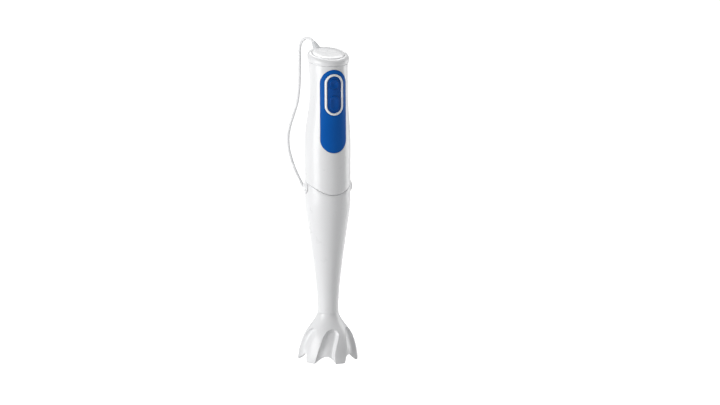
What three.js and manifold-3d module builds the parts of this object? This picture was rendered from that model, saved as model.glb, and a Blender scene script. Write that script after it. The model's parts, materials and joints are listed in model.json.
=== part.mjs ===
// An immersion blender: a motor handle with a grip panel, a detachable blending shaft with a six-petal
// blade guard, and its mains lead. Millimetres, +Z up, the panel faces -Y, and z = 0 is the plane of the
// guard's petal tips, on which the blender stands.
import * as THREE from "three";
import { mergeVertices } from "three/addons/utils/BufferGeometryUtils.js";
import Module from "manifold-3d";

const wasm = await Module();
wasm.setup();

// ---------------------------------------------------------------- driving dimensions

const CLEARANCE = 0.3; // between pieces that seat on or in each other
const RUNNING_GAP = 0.6; // between pieces that move past each other

const GUARD_RADIUS = 33.4; // blade guard at its rim
const GUARD_WALL = 2.2;
const GUARD_CEILING = 42; // top of the hollow under the guard
const FLARE_RADIUS = 22.8; // of the guard, half-way up its flare
const FLARE_HEIGHT = 34;
const NECK_RADIUS = 12; // the narrow neck above the guard
const NECK_HEIGHT = GUARD_CEILING + 10; // where the guard meets the shaft housing
const PETALS = 6;
const NICHE_DEPTH = 5.2; // how far each niche between two petals is sunk
const NICHE_HEIGHT = 36.4;
const NICHE_HALF_ANGLE = 20.8; // degrees, at the rim
const NICHE_START = -22.8; // degrees from the front to a niche's middle, at the rim
const NICHE_SWIRL = 18; // degrees that a niche leans over its height
const SCALLOP_RISE = 7.3; // how far the rim rises between two petal tips

const BODY_RADIUS = 25.3; // motor body and the top of the shaft housing
const SHAFT_WALL = 2.2;
const SEAM_HEIGHT = 191.1; // mean height of the joint between shaft and handle
const TAPER_LOW = NECK_HEIGHT + 8; // the shaft housing widens from here
const TAPER_HIGH = SEAM_HEIGHT - 17.1; // to here
const SEAM_WAVE = 6; // the joint is this much higher at the sides and lower at the front
const SEAM_GAP = 0.4;

const BRACKET_LOW = SEAM_HEIGHT + 11.9; // the plate under the motor
const BRACKET_THICKNESS = 5;
const CORE_LOW = BRACKET_LOW + 23; // the motor's iron
const CORE_HEIGHT = 28;

const HOUSING_WALL = 2.2;
const BODY_TOP = CORE_LOW + CORE_HEIGHT - 14; // the motor body's straight part ends here
const WAIST_HEIGHT = BODY_TOP + 60;
const WAIST_RADIUS = 20.8;
const WAIST_LEAN = 5; // the waist's centre is this far in front of the axis
const HANDLE_TOP = WAIST_HEIGHT + 28.4;
const HANDLE_TOP_RADIUS = 21.6;
const CAP_LEAN = 3;

const CAP_RADIUS = 22.7;
const CAP_HEIGHT = HANDLE_TOP + 9.1; // of the top disc, on its centre
const CAP_SLOPE = Math.tan(THREE.MathUtils.degToRad(16.5)); // of the top, down to the front
const CAP_WALL = 2.4;
const SHOULDER = 5.5; // height of the round shoulder round the top
const DISC_RADIUS = 17.4;
const DISC_PROUD = 0.5; // of the collar round it
const DISC_THICKNESS = 2.4;
const EDGE_SHARE = 0.6; // share of the slope that the handle's top edge has
const EDGE_FROM = HANDLE_TOP - 16.4; // the handle's level lines begin to slope here

const PANEL_WIDTH = 28.6;
const PANEL_HEIGHT = 89.5;
const PANEL_MIDDLE = WAIST_HEIGHT - 24.3;
const PANEL_PROUD = 0.4;
const RING_WIDTH = 20.4;
const RING_HEIGHT = 44.4;
const RING_BAND = 2.3;
const RING_MIDDLE = WAIST_HEIGHT - 6.2;
const RING_PROUD = 1;
const SPEED_BUTTON_SIZE = [10.6, 10.6];
const SPEED_BUTTON_HEIGHT = RING_MIDDLE + 11.4;
const TURBO_BUTTON_SIZE = [11, 16.5];
const TURBO_BUTTON_HEIGHT = RING_MIDDLE - 9.2;
const BUTTON_PROUD = 0.9;
const BUTTON_BACK = -19.8; // y of the inner face of both buttons
const BOARD_FACE = -13; // y of the circuit board's front
const BOARD_SIZE = [17, 1.6, 50];
const SWITCH_SIZE = [6, 3.3, 6];

const RELEASE_HEIGHT = SEAM_HEIGHT + 4.1;
const RELEASE_RADIUS = 4;
const RELEASE_PROUD = 1.5;
const BOSS_RADIUS = 7;
const BOSS_PROUD = 0.6;

const SPIGOT_RADIUS = 19.4; // the tube on the shaft that enters the handle
const SPIGOT_WALL = 2.4;
const SPIGOT_TOP = SEAM_HEIGHT + 8.9;
const FLANGE_LOW = SEAM_HEIGHT - 18.1;
const FLANGE_HIGH = FLANGE_LOW + 5;
const LATCH_ARM = [2, 5, 13]; // thickness, width and height
const LATCH_X = SPIGOT_RADIUS - SPIGOT_WALL - LATCH_ARM[0] / 2 - 0.7; // the arm's middle, from the axis
const SPINDLE_RADIUS = 2.5;
const SPINDLE_LOW = 9;
const SPINDLE_HIGH = SEAM_HEIGHT - 7.1;
const TUBE_RADIUS = 5; // the bearing tube around the spindle
const BUSH_RADIUS = 7.2;
const BLADE_RADIUS = 21;
const BLADE_HEIGHT = 13;
const BLADE_THICKNESS = 1.4;
const HEX_RADIUS = 4.4; // circumradius of the driving hexagon
const SOCKET_RADIUS = 6.8;
const SOCKET_TOP = SEAM_HEIGHT + 4.9;
const GUIDE_RADIUS = 9.6; // the tube around the coupling inside the handle

const MOTOR_SHAFT_RADIUS = 2.5;
const BEARING_RADIUS = 7;
const ARMATURE_RADIUS = 14;
const AIR_GAP = 0.7;
const POLE_THICKNESS = 3.6;
const YOKE_RADIUS = 20.8;
const WINDING_HEIGHT = 6.5;
const FAN_RADIUS = 15;
const COMMUTATOR_LOW = CORE_LOW + CORE_HEIGHT + 13;
const COMMUTATOR_RADIUS = 8;
const COMMUTATOR_HEIGHT = 10;
const BRUSH_PLATE_RADIUS = 15;
const TOP_BRACKET_LOW = COMMUTATOR_LOW + COMMUTATOR_HEIGHT + 7;
const TOP_BRACKET_RADIUS = 10.8;
const SCREW_PLACE = [14.3, -9.3]; // of the right tie screw

const CORD_DIAMETER = 3.4;
const EXIT_BEARING = THREE.MathUtils.degToRad(25); // from straight back towards -X
const BOOT_BASE_RADIUS = 4.7;
const BOOT_TIP_RADIUS = 2.3;
const BOOT_FOOT = [13.5, -2.3]; // out from the axis, and above the top disc's centre
const BOOT_BEND = [17.75, 5.35];
const BOOT_TIP = [22.7, 10.3];
const COIL_CENTRE = [18.8, 61.2];
const COIL_TURN_RADIUS = 19.5; // at the middle of its turns
const COIL_TURNS_WIDE = 2;
const COIL_TURNS_HIGH = 3;
const PLUG_PITCH = 19; // between the pins
const PLUG_BEARING = THREE.MathUtils.degToRad(18); // of its length, from straight back towards +X

// ---------------------------------------------------------------- materials

const WHITE = 0xf1f2f3;
const BLUE = 0x0a4f9e;

function material(color, roughness, metalness = 0) {
  return new THREE.MeshStandardMaterial({ color, roughness, metalness });
}
const whitePlastic = material(WHITE, 0.3);
const greyPlastic = material(0xd5d8da, 0.45);
const bluePlastic = material(BLUE, 0.4);
const darkBluePlastic = material(0x083f86, 0.45);
const innerPlastic = material(0x33363a, 0.6);
const cordPlastic = material(0xdfe2e4, 0.5);
const steel = material(0xb9bcc0, 0.25, 1);
const laminations = material(0x6d7075, 0.5, 1);
const copper = material(0xb8703a, 0.35, 1);
const brass = material(0xc7a558, 0.35, 1);
const carbon = material(0x202124, 0.7);
const rubber = material(0x2a2b2d, 0.8);
const boardGreen = material(0x2f6b45, 0.6);

// ---------------------------------------------------------------- shapes and solids

const { degToRad, smoothstep } = THREE.MathUtils;

// A geometry as a manifold-3d solid, for joining and cutting.
function solid(geometry) {
  const bare = geometry.clone();
  bare.deleteAttribute("normal");
  bare.deleteAttribute("uv");
  const merged = mergeVertices(bare, 1e-4);
  const mesh = { numProp: 3, vertProperties: merged.attributes.position.array };
  mesh.triVerts = new Uint32Array(merged.index.array);
  return new wasm.Manifold(new wasm.Mesh(mesh));
}

function geometryOf(manifold) {
  const mesh = manifold.getMesh();
  const positions = new Float32Array(mesh.vertProperties);
  return new THREE.BufferGeometry()
    .setAttribute("position", new THREE.BufferAttribute(positions, 3))
    .setIndex(new THREE.BufferAttribute(new Uint32Array(mesh.triVerts), 1));
}

const join = (...geometries) => geometryOf(geometries.map(solid).reduce((a, b) => a.add(b)));
const cut = (body, ...tools) => geometryOf(tools.map(solid).reduce((a, b) => a.subtract(b), solid(body)));
const common = (...geometries) => geometryOf(geometries.map(solid).reduce((a, b) => a.intersect(b)));

// A profile of [radius, height] pairs turned about the Z axis. One that leaves the axis is closed.
function turned(profile, segments = 24) {
  const points = profile.map(([r, z]) => new THREE.Vector2(r, z));
  const closed = profile[0][0] > 0 || profile[profile.length - 1][0] > 0;
  if (closed) points.push(points[0].clone());
  if (THREE.ShapeUtils.area(points) < 0) points.reverse();
  return new THREE.LatheGeometry(points, segments).rotateX(Math.PI / 2);
}

const disc = (radius, low, high, segments) =>
  turned([[0, low], [radius, low], [radius, high], [0, high]], segments);

const ring = (outer, inner, low, high, segments) =>
  turned([[inner, low], [outer, low], [outer, high], [inner, high]], segments);

const box = (size, centre) => new THREE.BoxGeometry(...size).translate(...centre);

// A cylinder along X between two places, at a height.
function crossBar(radius, from, to, height, segments = 24) {
  const bar = new THREE.CylinderGeometry(radius, radius, Math.abs(to - from), segments);
  return bar.rotateZ(Math.PI / 2).translate((from + to) / 2, 0, height);
}

// An outline with round ends, in the plane that faces the front, as a prism from one y to a lower y.
function stadiumPrism(width, height, middle, back, front, arcSteps = 10) {
  const radius = width / 2;
  const straight = (height - width) / 2;
  const outline = new THREE.Shape();
  outline.absarc(0, straight, radius, 0, Math.PI);
  outline.absarc(0, -straight, radius, Math.PI, 2 * Math.PI);
  const options = { depth: back - front, bevelEnabled: false, curveSegments: arcSteps };
  return new THREE.ExtrudeGeometry(outline, options).rotateX(Math.PI / 2).translate(0, back, middle);
}

// An outline of points in the XY plane, as a prism between two heights.
function plate(points, low, high) {
  const outline = new THREE.Shape(points.map(([x, y]) => new THREE.Vector2(x, y)));
  const options = { depth: high - low, bevelEnabled: false };
  return new THREE.ExtrudeGeometry(outline, options).translate(0, 0, low);
}

// Moves each vertex of a geometry by a function of its position.
function reshaped(geometry, move) {
  const positions = geometry.attributes.position;
  const point = new THREE.Vector3();
  for (let i = 0; i < positions.count; i += 1) {
    move(point.fromBufferAttribute(positions, i));
    positions.setXYZ(i, point.x, point.y, point.z);
  }
  return geometry;
}

class Helix extends THREE.Curve {
  constructor(radius, length, turns) {
    super();
    Object.assign(this, { radius, length, turns });
  }
  getPoint(t, target = new THREE.Vector3()) {
    const angle = 2 * Math.PI * this.turns * t;
    return target.set(this.radius * Math.cos(angle), this.radius * Math.sin(angle), this.length * t);
  }
}

// A round section carried along a curve.
function tube(curve, radius, sides, steps) {
  const section = new THREE.Shape();
  section.absarc(0, 0, radius, 0, 2 * Math.PI);
  const options = { steps, extrudePath: curve, curveSegments: sides / 2, bevelEnabled: false };
  return new THREE.ExtrudeGeometry(section, options);
}

const spring = (radius, wire, length, turns) => tube(new Helix(radius, length, turns), wire, 6, turns * 9);

const object = new THREE.Group();

function add(name, geometry, look, parent = object) {
  const mesh = new THREE.Mesh(geometry, look);
  mesh.name = name;
  parent.add(mesh);
  return mesh;
}

// Runs a maker for the left side and the right side.
function onBothSides(make) {
  make("left", -1);
  make("right", 1);
}

// ---------------------------------------------------------------- the handle's form

function handleOutline() {
  const path = new THREE.Path();
  path.moveTo(BODY_RADIUS, SEAM_HEIGHT - 15);
  path.lineTo(BODY_RADIUS, BODY_TOP);
  path.bezierCurveTo(
    BODY_RADIUS, BODY_TOP + 18, WAIST_RADIUS, WAIST_HEIGHT - 24, WAIST_RADIUS, WAIST_HEIGHT,
  );
  path.bezierCurveTo(
    WAIST_RADIUS, WAIST_HEIGHT + 12, HANDLE_TOP_RADIUS - 0.5, HANDLE_TOP - 6, HANDLE_TOP_RADIUS, HANDLE_TOP,
  );
  return path.getPoints(5).map((p) => [p.x, p.y]);
}

// Gives an upright turned piece the handle's lean to the front and the slope of its upper edges.
function leaned(geometry) {
  return reshaped(geometry, (p) => {
    const slope =
      EDGE_SHARE * smoothstep(p.z, EDGE_FROM, HANDLE_TOP) +
      (1 - EDGE_SHARE) * smoothstep(p.z, HANDLE_TOP + 2, CAP_HEIGHT - 1);
    const lean =
      WAIST_LEAN * smoothstep(p.z, BODY_TOP, WAIST_HEIGHT - 4) -
      (WAIST_LEAN - CAP_LEAN) * smoothstep(p.z, WAIST_HEIGHT + 4, HANDLE_TOP + 2);
    p.z += CAP_SLOPE * slope * p.y;
    p.y -= lean;
  });
}

// The solid inside the handle's outer surface moved out by an offset.
function handleSolid(offset) {
  const outline = handleOutline().map(([r, z]) => [r + offset, z]);
  const low = outline[0][1] - (offset < 0 ? 1 : 0);
  const high = HANDLE_TOP + (offset < 0 ? 1 : 0);
  outline[0][1] = low;
  outline[outline.length - 1][1] = high;
  return leaned(turned([[0, low], ...outline, [0, high]], 40));
}

// Everything below the seam between the shaft and the handle, which waves round the body.
function belowSeam(shift) {
  const top = SEAM_HEIGHT + shift;
  const block = turned([[0, NECK_HEIGHT], [40, NECK_HEIGHT], [40, top], [15, top], [0, top]], 40);
  return reshaped(block, (p) => {
    if (p.z < top - 1 || Math.hypot(p.x, p.y) < 1) return;
    p.z += SEAM_WAVE * Math.cos(2 * Math.atan2(p.y, p.x));
  });
}

// ---------------------------------------------------------------- handle: shells and panel

const panelInner = -HOUSING_WALL - 0.4;

function onHandle(prism, proud, inner = panelInner) {
  return cut(common(prism, handleSolid(proud)), handleSolid(inner));
}

const motorHousing = () => {
  const bosses = [-1, 1].map((s) =>
    crossBar(BOSS_RADIUS, s * (BODY_RADIUS - HOUSING_WALL), s * (BODY_RADIUS + BOSS_PROUD), RELEASE_HEIGHT),
  );
  const bores = [-1, 1].map((s) => crossBar(RELEASE_RADIUS + CLEARANCE, s * 15, s * 35, RELEASE_HEIGHT));
  const shell = cut(handleSolid(0), handleSolid(-HOUSING_WALL), belowSeam(0));
  const window = stadiumPrism(
    PANEL_WIDTH + 2 * CLEARANCE, PANEL_HEIGHT + 2 * CLEARANCE, PANEL_MIDDLE, -8, -40,
  );
  return cut(join(shell, ...bosses), ...bores, window);
};

const panelPrism = (margin) =>
  stadiumPrism(PANEL_WIDTH + 2 * margin, PANEL_HEIGHT + 2 * margin, PANEL_MIDDLE, -8, -40);
const ringPrism = (margin) =>
  stadiumPrism(RING_WIDTH + 2 * margin, RING_HEIGHT + 2 * margin, RING_MIDDLE, -8, -40, 8);
const buttonPrism = ([width, height], middle, margin, back = -8) =>
  stadiumPrism(width + 2 * margin, height + 0.01 + 2 * margin, middle, back, -40, 8);

add("motor_housing", motorHousing(), whitePlastic);
add("grip_panel", cut(onHandle(panelPrism(0), PANEL_PROUD), ringPrism(CLEARANCE)), bluePlastic);
add("button_ring", cut(onHandle(ringPrism(0), RING_PROUD), ringPrism(-RING_BAND)), whitePlastic);
add(
  "keypad_bezel",
  cut(
    onHandle(ringPrism(-RING_BAND - CLEARANCE), 0),
    buttonPrism(SPEED_BUTTON_SIZE, SPEED_BUTTON_HEIGHT, CLEARANCE),
    buttonPrism(TURBO_BUTTON_SIZE, TURBO_BUTTON_HEIGHT, CLEARANCE),
  ),
  darkBluePlastic,
);

const capCollar = () => {
  const low = HANDLE_TOP + CLEARANCE;
  const top = CAP_HEIGHT - DISC_PROUD;
  const seat = CAP_HEIGHT - DISC_THICKNESS - CLEARANCE;
  const shoulder = new THREE.Path();
  shoulder.moveTo(CAP_RADIUS, low);
  shoulder.lineTo(CAP_RADIUS, CAP_HEIGHT - SHOULDER);
  shoulder.quadraticCurveTo(CAP_RADIUS, top, DISC_RADIUS + CLEARANCE, top);
  const outside = shoulder.getPoints(5).map((p) => [p.x, p.y]);
  const inside = [
    [DISC_RADIUS + CLEARANCE, seat],
    [DISC_RADIUS - 2, seat],
    [DISC_RADIUS - 2, seat - 1.6],
    [CAP_RADIUS - CAP_WALL, seat - 3],
    [CAP_RADIUS - CAP_WALL, low],
  ];
  return leaned(turned([...outside, ...inside], 40));
};
const topDisc = () => leaned(disc(DISC_RADIUS, CAP_HEIGHT - DISC_THICKNESS, CAP_HEIGHT, 40));

// ---------------------------------------------------------------- handle: cord exit

const bearingPoint = ([out, up]) =>
  new THREE.Vector3(-out * Math.sin(EXIT_BEARING), out * Math.cos(EXIT_BEARING), CAP_HEIGHT + up);

const bootCurve = new THREE.QuadraticBezierCurve3(...[BOOT_FOOT, BOOT_BEND, BOOT_TIP].map(bearingPoint));

// A round piece along the boot's curve, its radius going from one value to another.
function alongBoot(baseRadius, tipRadius, sides) {
  const steps = 9;
  const piece = tube(bootCurve, 1, sides, steps);
  const points = bootCurve.getSpacedPoints(steps);
  return reshaped(piece, (p) => {
    const step = points.reduce((best, q, i) => (q.distanceTo(p) < points[best].distanceTo(p) ? i : best), 0);
    const radius = baseRadius + ((tipRadius - baseRadius) * step) / steps;
    p.sub(points[step]).multiplyScalar(radius).add(points[step]);
  });
}

const boot = alongBoot(BOOT_BASE_RADIUS, BOOT_TIP_RADIUS, 14);
const bootRoom = alongBoot(BOOT_BASE_RADIUS + CLEARANCE, BOOT_TIP_RADIUS + CLEARANCE, 14);
add("cap_collar", cut(capCollar(), bootRoom), whitePlastic);
add("top_disc", cut(topDisc(), bootRoom), whitePlastic);
add("strain_relief", boot, greyPlastic);

// ---------------------------------------------------------------- handle: controls

const travelSpace = Math.abs(BUTTON_BACK - BOARD_FACE) - SWITCH_SIZE[1] - 2 * CLEARANCE;

add("circuit_board", box(BOARD_SIZE, [0, BOARD_FACE + BOARD_SIZE[1] / 2, RING_MIDDLE]), boardGreen);

function control(name, size, height) {
  const back = buttonPrism(size, height, 0, BUTTON_BACK);
  add(`${name}_button`, common(back, handleSolid(BUTTON_PROUD)), darkBluePlastic);
  const [width, depth, tall] = SWITCH_SIZE;
  const body = box([width, depth, tall], [0, BOARD_FACE - CLEARANCE - depth / 2, height]);
  const plunger = new THREE.CylinderGeometry(1.4, 1.4, 2, 16).translate(0, BOARD_FACE - depth - 1, height);
  add(`${name}_switch`, join(body, plunger), innerPlastic);
  const coil = spring(2.2, 0.3, travelSpace - 1, 2).rotateX(Math.PI / 2);
  coil.translate(0, BOARD_FACE - CLEARANCE - depth - 0.6, height);
  add(`${name}_button_spring`, coil, steel);
}
control("speed", SPEED_BUTTON_SIZE, SPEED_BUTTON_HEIGHT);
control("turbo", TURBO_BUTTON_SIZE, TURBO_BUTTON_HEIGHT);

onBothSides((side, s) => {
  const outer = BODY_RADIUS + RELEASE_PROUD;
  const knob = crossBar(RELEASE_RADIUS, s * (BODY_RADIUS - 4), s * outer, RELEASE_HEIGHT);
  const stem = crossBar(2, s * LATCH_X, s * (BODY_RADIUS - 3), RELEASE_HEIGHT, 12);
  const arm = box(LATCH_ARM, [s * LATCH_X, 0, RELEASE_HEIGHT - LATCH_ARM[2] / 2 + 2.5]);
  add(`release_button_${side}`, join(knob, stem, arm), whitePlastic);
  const from = GUIDE_RADIUS + CLEARANCE + 0.5;
  const to = LATCH_X - LATCH_ARM[0] / 2 - CLEARANCE - 0.5;
  const coil = spring(1.8, 0.3, to - from, 3).rotateY((s * Math.PI) / 2);
  add(`release_spring_${side}`, coil.translate(s * from, 0, RELEASE_HEIGHT), steel);
});

// ---------------------------------------------------------------- handle: motor frame

const lowerBracket = () => {
  const high = BRACKET_LOW + BRACKET_THICKNESS;
  const rim = BODY_RADIUS - HOUSING_WALL - CLEARANCE;
  const skirt = SPIGOT_RADIUS + RUNNING_GAP;
  const skirtLow = SEAM_HEIGHT + SEAM_WAVE + 1.5;
  const shaftWay = MOTOR_SHAFT_RADIUS + 1.5;
  const body = turned([
    [BEARING_RADIUS + CLEARANCE, high],
    [rim, high],
    [rim, skirtLow],
    [skirt, skirtLow],
    [skirt, BRACKET_LOW],
    [GUIDE_RADIUS, BRACKET_LOW],
    [GUIDE_RADIUS, RELEASE_HEIGHT - 4],
    [GUIDE_RADIUS - 1.8, RELEASE_HEIGHT - 4],
    [GUIDE_RADIUS - 1.8, BRACKET_LOW - 2.5],
    [shaftWay, BRACKET_LOW - 2.5],
    [shaftWay, BRACKET_LOW - 0.5],
    [BEARING_RADIUS + CLEARANCE, BRACKET_LOW - 0.5],
  ]);
  const bores = [-1, 1].map((s) => crossBar(RELEASE_RADIUS + RUNNING_GAP, s * 14, s * 30, RELEASE_HEIGHT));
  return cut(body, ...bores);
};
add("lower_bracket", lowerBracket(), innerPlastic);
add(
  "lower_bearing",
  ring(BEARING_RADIUS, MOTOR_SHAFT_RADIUS + 0.2, BRACKET_LOW, BRACKET_LOW + BRACKET_THICKNESS, 28),
  steel,
);

// A sector of a ring between two radii, about an angle in degrees.
function sector(outer, inner, middle, halfAngle, low, high) {
  const [from, to] = [middle - halfAngle, middle + halfAngle].map(degToRad);
  const outline = new THREE.Shape();
  outline.absarc(0, 0, outer, from, to);
  outline.absarc(0, 0, inner, to, from, true);
  const options = { depth: high - low, bevelEnabled: false, curveSegments: 8 };
  return new THREE.ExtrudeGeometry(outline, options).translate(0, 0, low);
}

const coreHigh = CORE_LOW + CORE_HEIGHT;
const poleInner = ARMATURE_RADIUS + AIR_GAP;
const yokeInner = poleInner + POLE_THICKNESS;
const [screwX, screwY] = SCREW_PLACE;
const screwHead = TOP_BRACKET_LOW + 3 + CLEARANCE;

const statorCore = () => {
  const poles = [90, 270].map((angle) =>
    sector(yokeInner + 1, poleInner, angle, 46, CORE_LOW, coreHigh),
  );
  const screwWays = [-1, 1].map((s) =>
    disc(1.2 + CLEARANCE, CORE_LOW - 5, coreHigh + 5, 12).translate(s * screwX, screwY, 0),
  );
  return cut(join(ring(YOKE_RADIUS, yokeInner, CORE_LOW, coreHigh, 40), ...poles), ...screwWays);
};
add("stator_core", statorCore(), laminations);
onBothSides((side, s) => {
  const middle = s < 0 ? 180 : 0;
  const [low, high] = [CORE_LOW - WINDING_HEIGHT, coreHigh + WINDING_HEIGHT];
  add(
    `field_coil_${side}`,
    sector(yokeInner - CLEARANCE, poleInner + CLEARANCE, middle, 24, low, high),
    copper,
  );
  const screw = turned([
    [0, BRACKET_LOW + BRACKET_THICKNESS + CLEARANCE],
    [1.2, BRACKET_LOW + BRACKET_THICKNESS + CLEARANCE],
    [1.2, screwHead],
    [2.2, screwHead],
    [2.2, screwHead + 1.6],
    [0, screwHead + 1.6],
  ], 12);
  add(`tie_screw_${side}`, screw.translate(s * screwX, screwY, 0), steel);
});

const screwReach = Math.hypot(screwX, screwY);
const screwEars = (low, high) =>
  [-1, 1].flatMap((s) => [
    disc(3.4, low, high, 16).translate(s * screwX, screwY, 0),
    box([8, 5, high - low], [screwReach - 4, 0, (low + high) / 2]).rotateZ(Math.atan2(screwY, s * screwX)),
  ]);
const screwHoles = (low, high) =>
  [-1, 1].map((s) => disc(1.2 + CLEARANCE, low - 1, high + 1, 12).translate(s * screwX, screwY, 0));

const topHigh = TOP_BRACKET_LOW + 3;
add(
  "upper_bracket",
  cut(
    join(disc(TOP_BRACKET_RADIUS, TOP_BRACKET_LOW, topHigh, 32), ...screwEars(TOP_BRACKET_LOW, topHigh)),
    disc(BEARING_RADIUS - 1 + CLEARANCE, TOP_BRACKET_LOW - 1, topHigh + 1, 28),
    ...screwHoles(TOP_BRACKET_LOW, topHigh),
  ),
  innerPlastic,
);
add(
  "upper_bearing",
  ring(BEARING_RADIUS - 1, MOTOR_SHAFT_RADIUS + 0.2, TOP_BRACKET_LOW, topHigh, 28),
  steel,
);

const brushLow = COMMUTATOR_LOW + 2.5;
const plateLow = COMMUTATOR_LOW + COMMUTATOR_HEIGHT;
const brushDisc = disc(BRUSH_PLATE_RADIUS, plateLow, plateLow + 2, 32);
add(
  "brush_plate",
  cut(
    join(brushDisc, ...screwEars(plateLow, plateLow + 2)),
    disc(COMMUTATOR_RADIUS + 1.5, plateLow - 1, plateLow + 3, 28),
    box([BOARD_SIZE[0] + 2, 10, 10], [0, BOARD_FACE + BOARD_SIZE[1] + CLEARANCE - 5, plateLow]),
    ...screwHoles(plateLow, plateLow + 2),
  ),
  innerPlastic,
);
onBothSides((side, s) => {
  const middle = brushLow + 3;
  const holder = box([6.5, 6.4, 6.4], [s * 12.6, 0, middle]);
  const slot = box([20, 4.4 + 2 * CLEARANCE, 4.4 + 2 * CLEARANCE], [s * 12.6, 0, middle]);
  add(`brush_holder_${side}`, cut(holder, slot), brass);
  const length = 7;
  const brush = box([length, 4.4, 4.4], [s * (COMMUTATOR_RADIUS + CLEARANCE + length / 2), 0, middle]);
  add(`brush_${side}`, brush, carbon);
});

const clampHeight = RING_MIDDLE + BOARD_SIZE[2] / 2 + 1;
const cordClamp = () => {
  const saddle = box([12, 5, 5], [0, 4, clampHeight]);
  const way = disc(CORD_DIAMETER / 2 + CLEARANCE, clampHeight - 5, clampHeight + 5, 16);
  return cut(saddle, way.translate(0, 4, 0));
};
add("cord_clamp", cordClamp(), innerPlastic);

// ---------------------------------------------------------------- rotor

// A gear-like outline with square slots between its teeth.
function slottedCore(radius, depth, teeth, slotShare) {
  const points = [];
  for (let i = 0; i < teeth; i += 1) {
    const middle = (2 * Math.PI * i) / teeth;
    const half = (Math.PI * (1 - slotShare)) / teeth;
    const slotHalf = Math.PI / teeth;
    for (const [r, a] of [
      [radius - depth, -slotHalf * 0.98], [radius - depth, -half], [radius, -half], [radius, 0],
      [radius, half], [radius - depth, half],
    ]) {
      points.push([r * Math.cos(middle + a), r * Math.sin(middle + a)]);
    }
  }
  return plate(points, CORE_LOW, coreHigh);
}

const shaftHole = (low, high) => disc(MOTOR_SHAFT_RADIUS + 0.2, low - 1, high + 1, 16);

function addOnShaft(name, geometry, look, low, high) {
  add(name, cut(geometry, shaftHole(low, high)), look);
}

const hexLow = SOCKET_TOP - 8;
const fanLow = BRACKET_LOW + BRACKET_THICKNESS + 1.5;
add("armature_shaft", disc(MOTOR_SHAFT_RADIUS, SOCKET_TOP - 1, topHigh + 1, 16), steel);
addOnShaft("armature_core", slottedCore(ARMATURE_RADIUS, 3, 10, 0.35), laminations, CORE_LOW, coreHigh);
for (const [name, low] of [["lower", CORE_LOW - WINDING_HEIGHT], ["upper", coreHigh]]) {
  const [a, b] = [low + CLEARANCE, low + WINDING_HEIGHT - CLEARANCE];
  const bundle = turned([[0, a], [10.5, a], [12.5, a + 1.5], [12.5, b - 1.5], [10.5, b], [0, b]], 28);
  addOnShaft(`armature_winding_${name}`, bundle, copper, a, b);
}
addOnShaft(
  "commutator",
  turned([
    [0, COMMUTATOR_LOW], [COMMUTATOR_RADIUS, COMMUTATOR_LOW],
    [COMMUTATOR_RADIUS, plateLow], [0, plateLow],
  ]),
  copper, COMMUTATOR_LOW, plateLow,
);

const coolingFan = () => {
  const blades = [];
  for (let i = 0; i < 8; i += 1) {
    const blade = box([FAN_RADIUS - 5, 1.2, 4.5], [(FAN_RADIUS + 5) / 2, 0, fanLow + 3.2]);
    blades.push(blade.rotateZ((Math.PI * i) / 4));
  }
  const hub = disc(5.5, fanLow, fanLow + 5.5, 20);
  return join(disc(FAN_RADIUS, fanLow, fanLow + 1.2, 32), hub, ...blades);
};
addOnShaft("cooling_fan", coolingFan(), greyPlastic, fanLow, fanLow + 6);

const driveCoupling = () => {
  const hexagon = disc(HEX_RADIUS, hexLow, SOCKET_TOP + 1, 6);
  const collar = disc(5.6, SOCKET_TOP + RUNNING_GAP, BRACKET_LOW - 3.2, 20);
  const hole = disc(MOTOR_SHAFT_RADIUS + 0.2, SOCKET_TOP - 1 - CLEARANCE, BRACKET_LOW, 16);
  return cut(join(hexagon, collar), hole);
};
add("drive_coupling", driveCoupling(), innerPlastic);

// ---------------------------------------------------------------- blending shaft

// The angle of a point round the axis, in degrees from the front, towards +X.
const angleFromFront = (p) => THREE.MathUtils.radToDeg(Math.atan2(p.x, -p.y));

// How far across its niche a point of the guard lies: -1 and 1 at the niche's two edges.
function acrossNiche(angle, height) {
  const rise = THREE.MathUtils.clamp(height / NICHE_HEIGHT, 0, 1);
  const middle = NICHE_START + NICHE_SWIRL * rise;
  const pitch = 360 / PETALS;
  const off = THREE.MathUtils.euclideanModulo(angle - middle + pitch / 2, pitch) - pitch / 2;
  const half = NICHE_HALF_ANGLE * Math.sqrt(1 - rise ** 7) + 1e-6;
  return off / half;
}

function nicheDepth(angle, height) {
  if (height >= NICHE_HEIGHT) return 0;
  const across = acrossNiche(angle, height);
  if (Math.abs(across) >= 1) return 0;
  const rise = height / NICHE_HEIGHT;
  return NICHE_DEPTH * Math.sqrt(1 - rise ** 6) * (1 - across ** 6);
}

function guardOutline() {
  const path = new THREE.Path();
  path.moveTo(GUARD_RADIUS, 0);
  path.bezierCurveTo(GUARD_RADIUS, 14, 28, 27, FLARE_RADIUS, FLARE_HEIGHT);
  path.bezierCurveTo(18.3, 40, NECK_RADIUS + 1, 46.5, NECK_RADIUS, NECK_HEIGHT);
  return path.getPoints(9).map((p) => [p.x, p.y]);
}

const bladeGuard = () => {
  const outside = guardOutline();
  const inside = outside
    .filter(([, z]) => z < GUARD_CEILING - 2)
    .map(([r, z]) => [r - 1.25 * GUARD_WALL, z])
    .reverse();
  inside.unshift(
    [BUSH_RADIUS + CLEARANCE, NECK_HEIGHT], [BUSH_RADIUS + CLEARANCE, GUARD_CEILING], [13, GUARD_CEILING],
  );
  const shell = turned([...outside, ...inside], 72);
  return reshaped(shell, (p) => {
    const radius = Math.hypot(p.x, p.y);
    const angle = angleFromFront(p);
    const sunk = radius > 14 ? nicheDepth(angle, p.z) : 0;
    p.x *= (radius - sunk) / radius;
    p.y *= (radius - sunk) / radius;
    const across = acrossNiche(angle, p.z);
    const edge = 1 - smoothstep(p.z, 0, 3 * SCALLOP_RISE);
    if (Math.abs(across) < 1) p.z += SCALLOP_RISE * edge * Math.sqrt(1 - across ** 4);
  });
};

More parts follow.
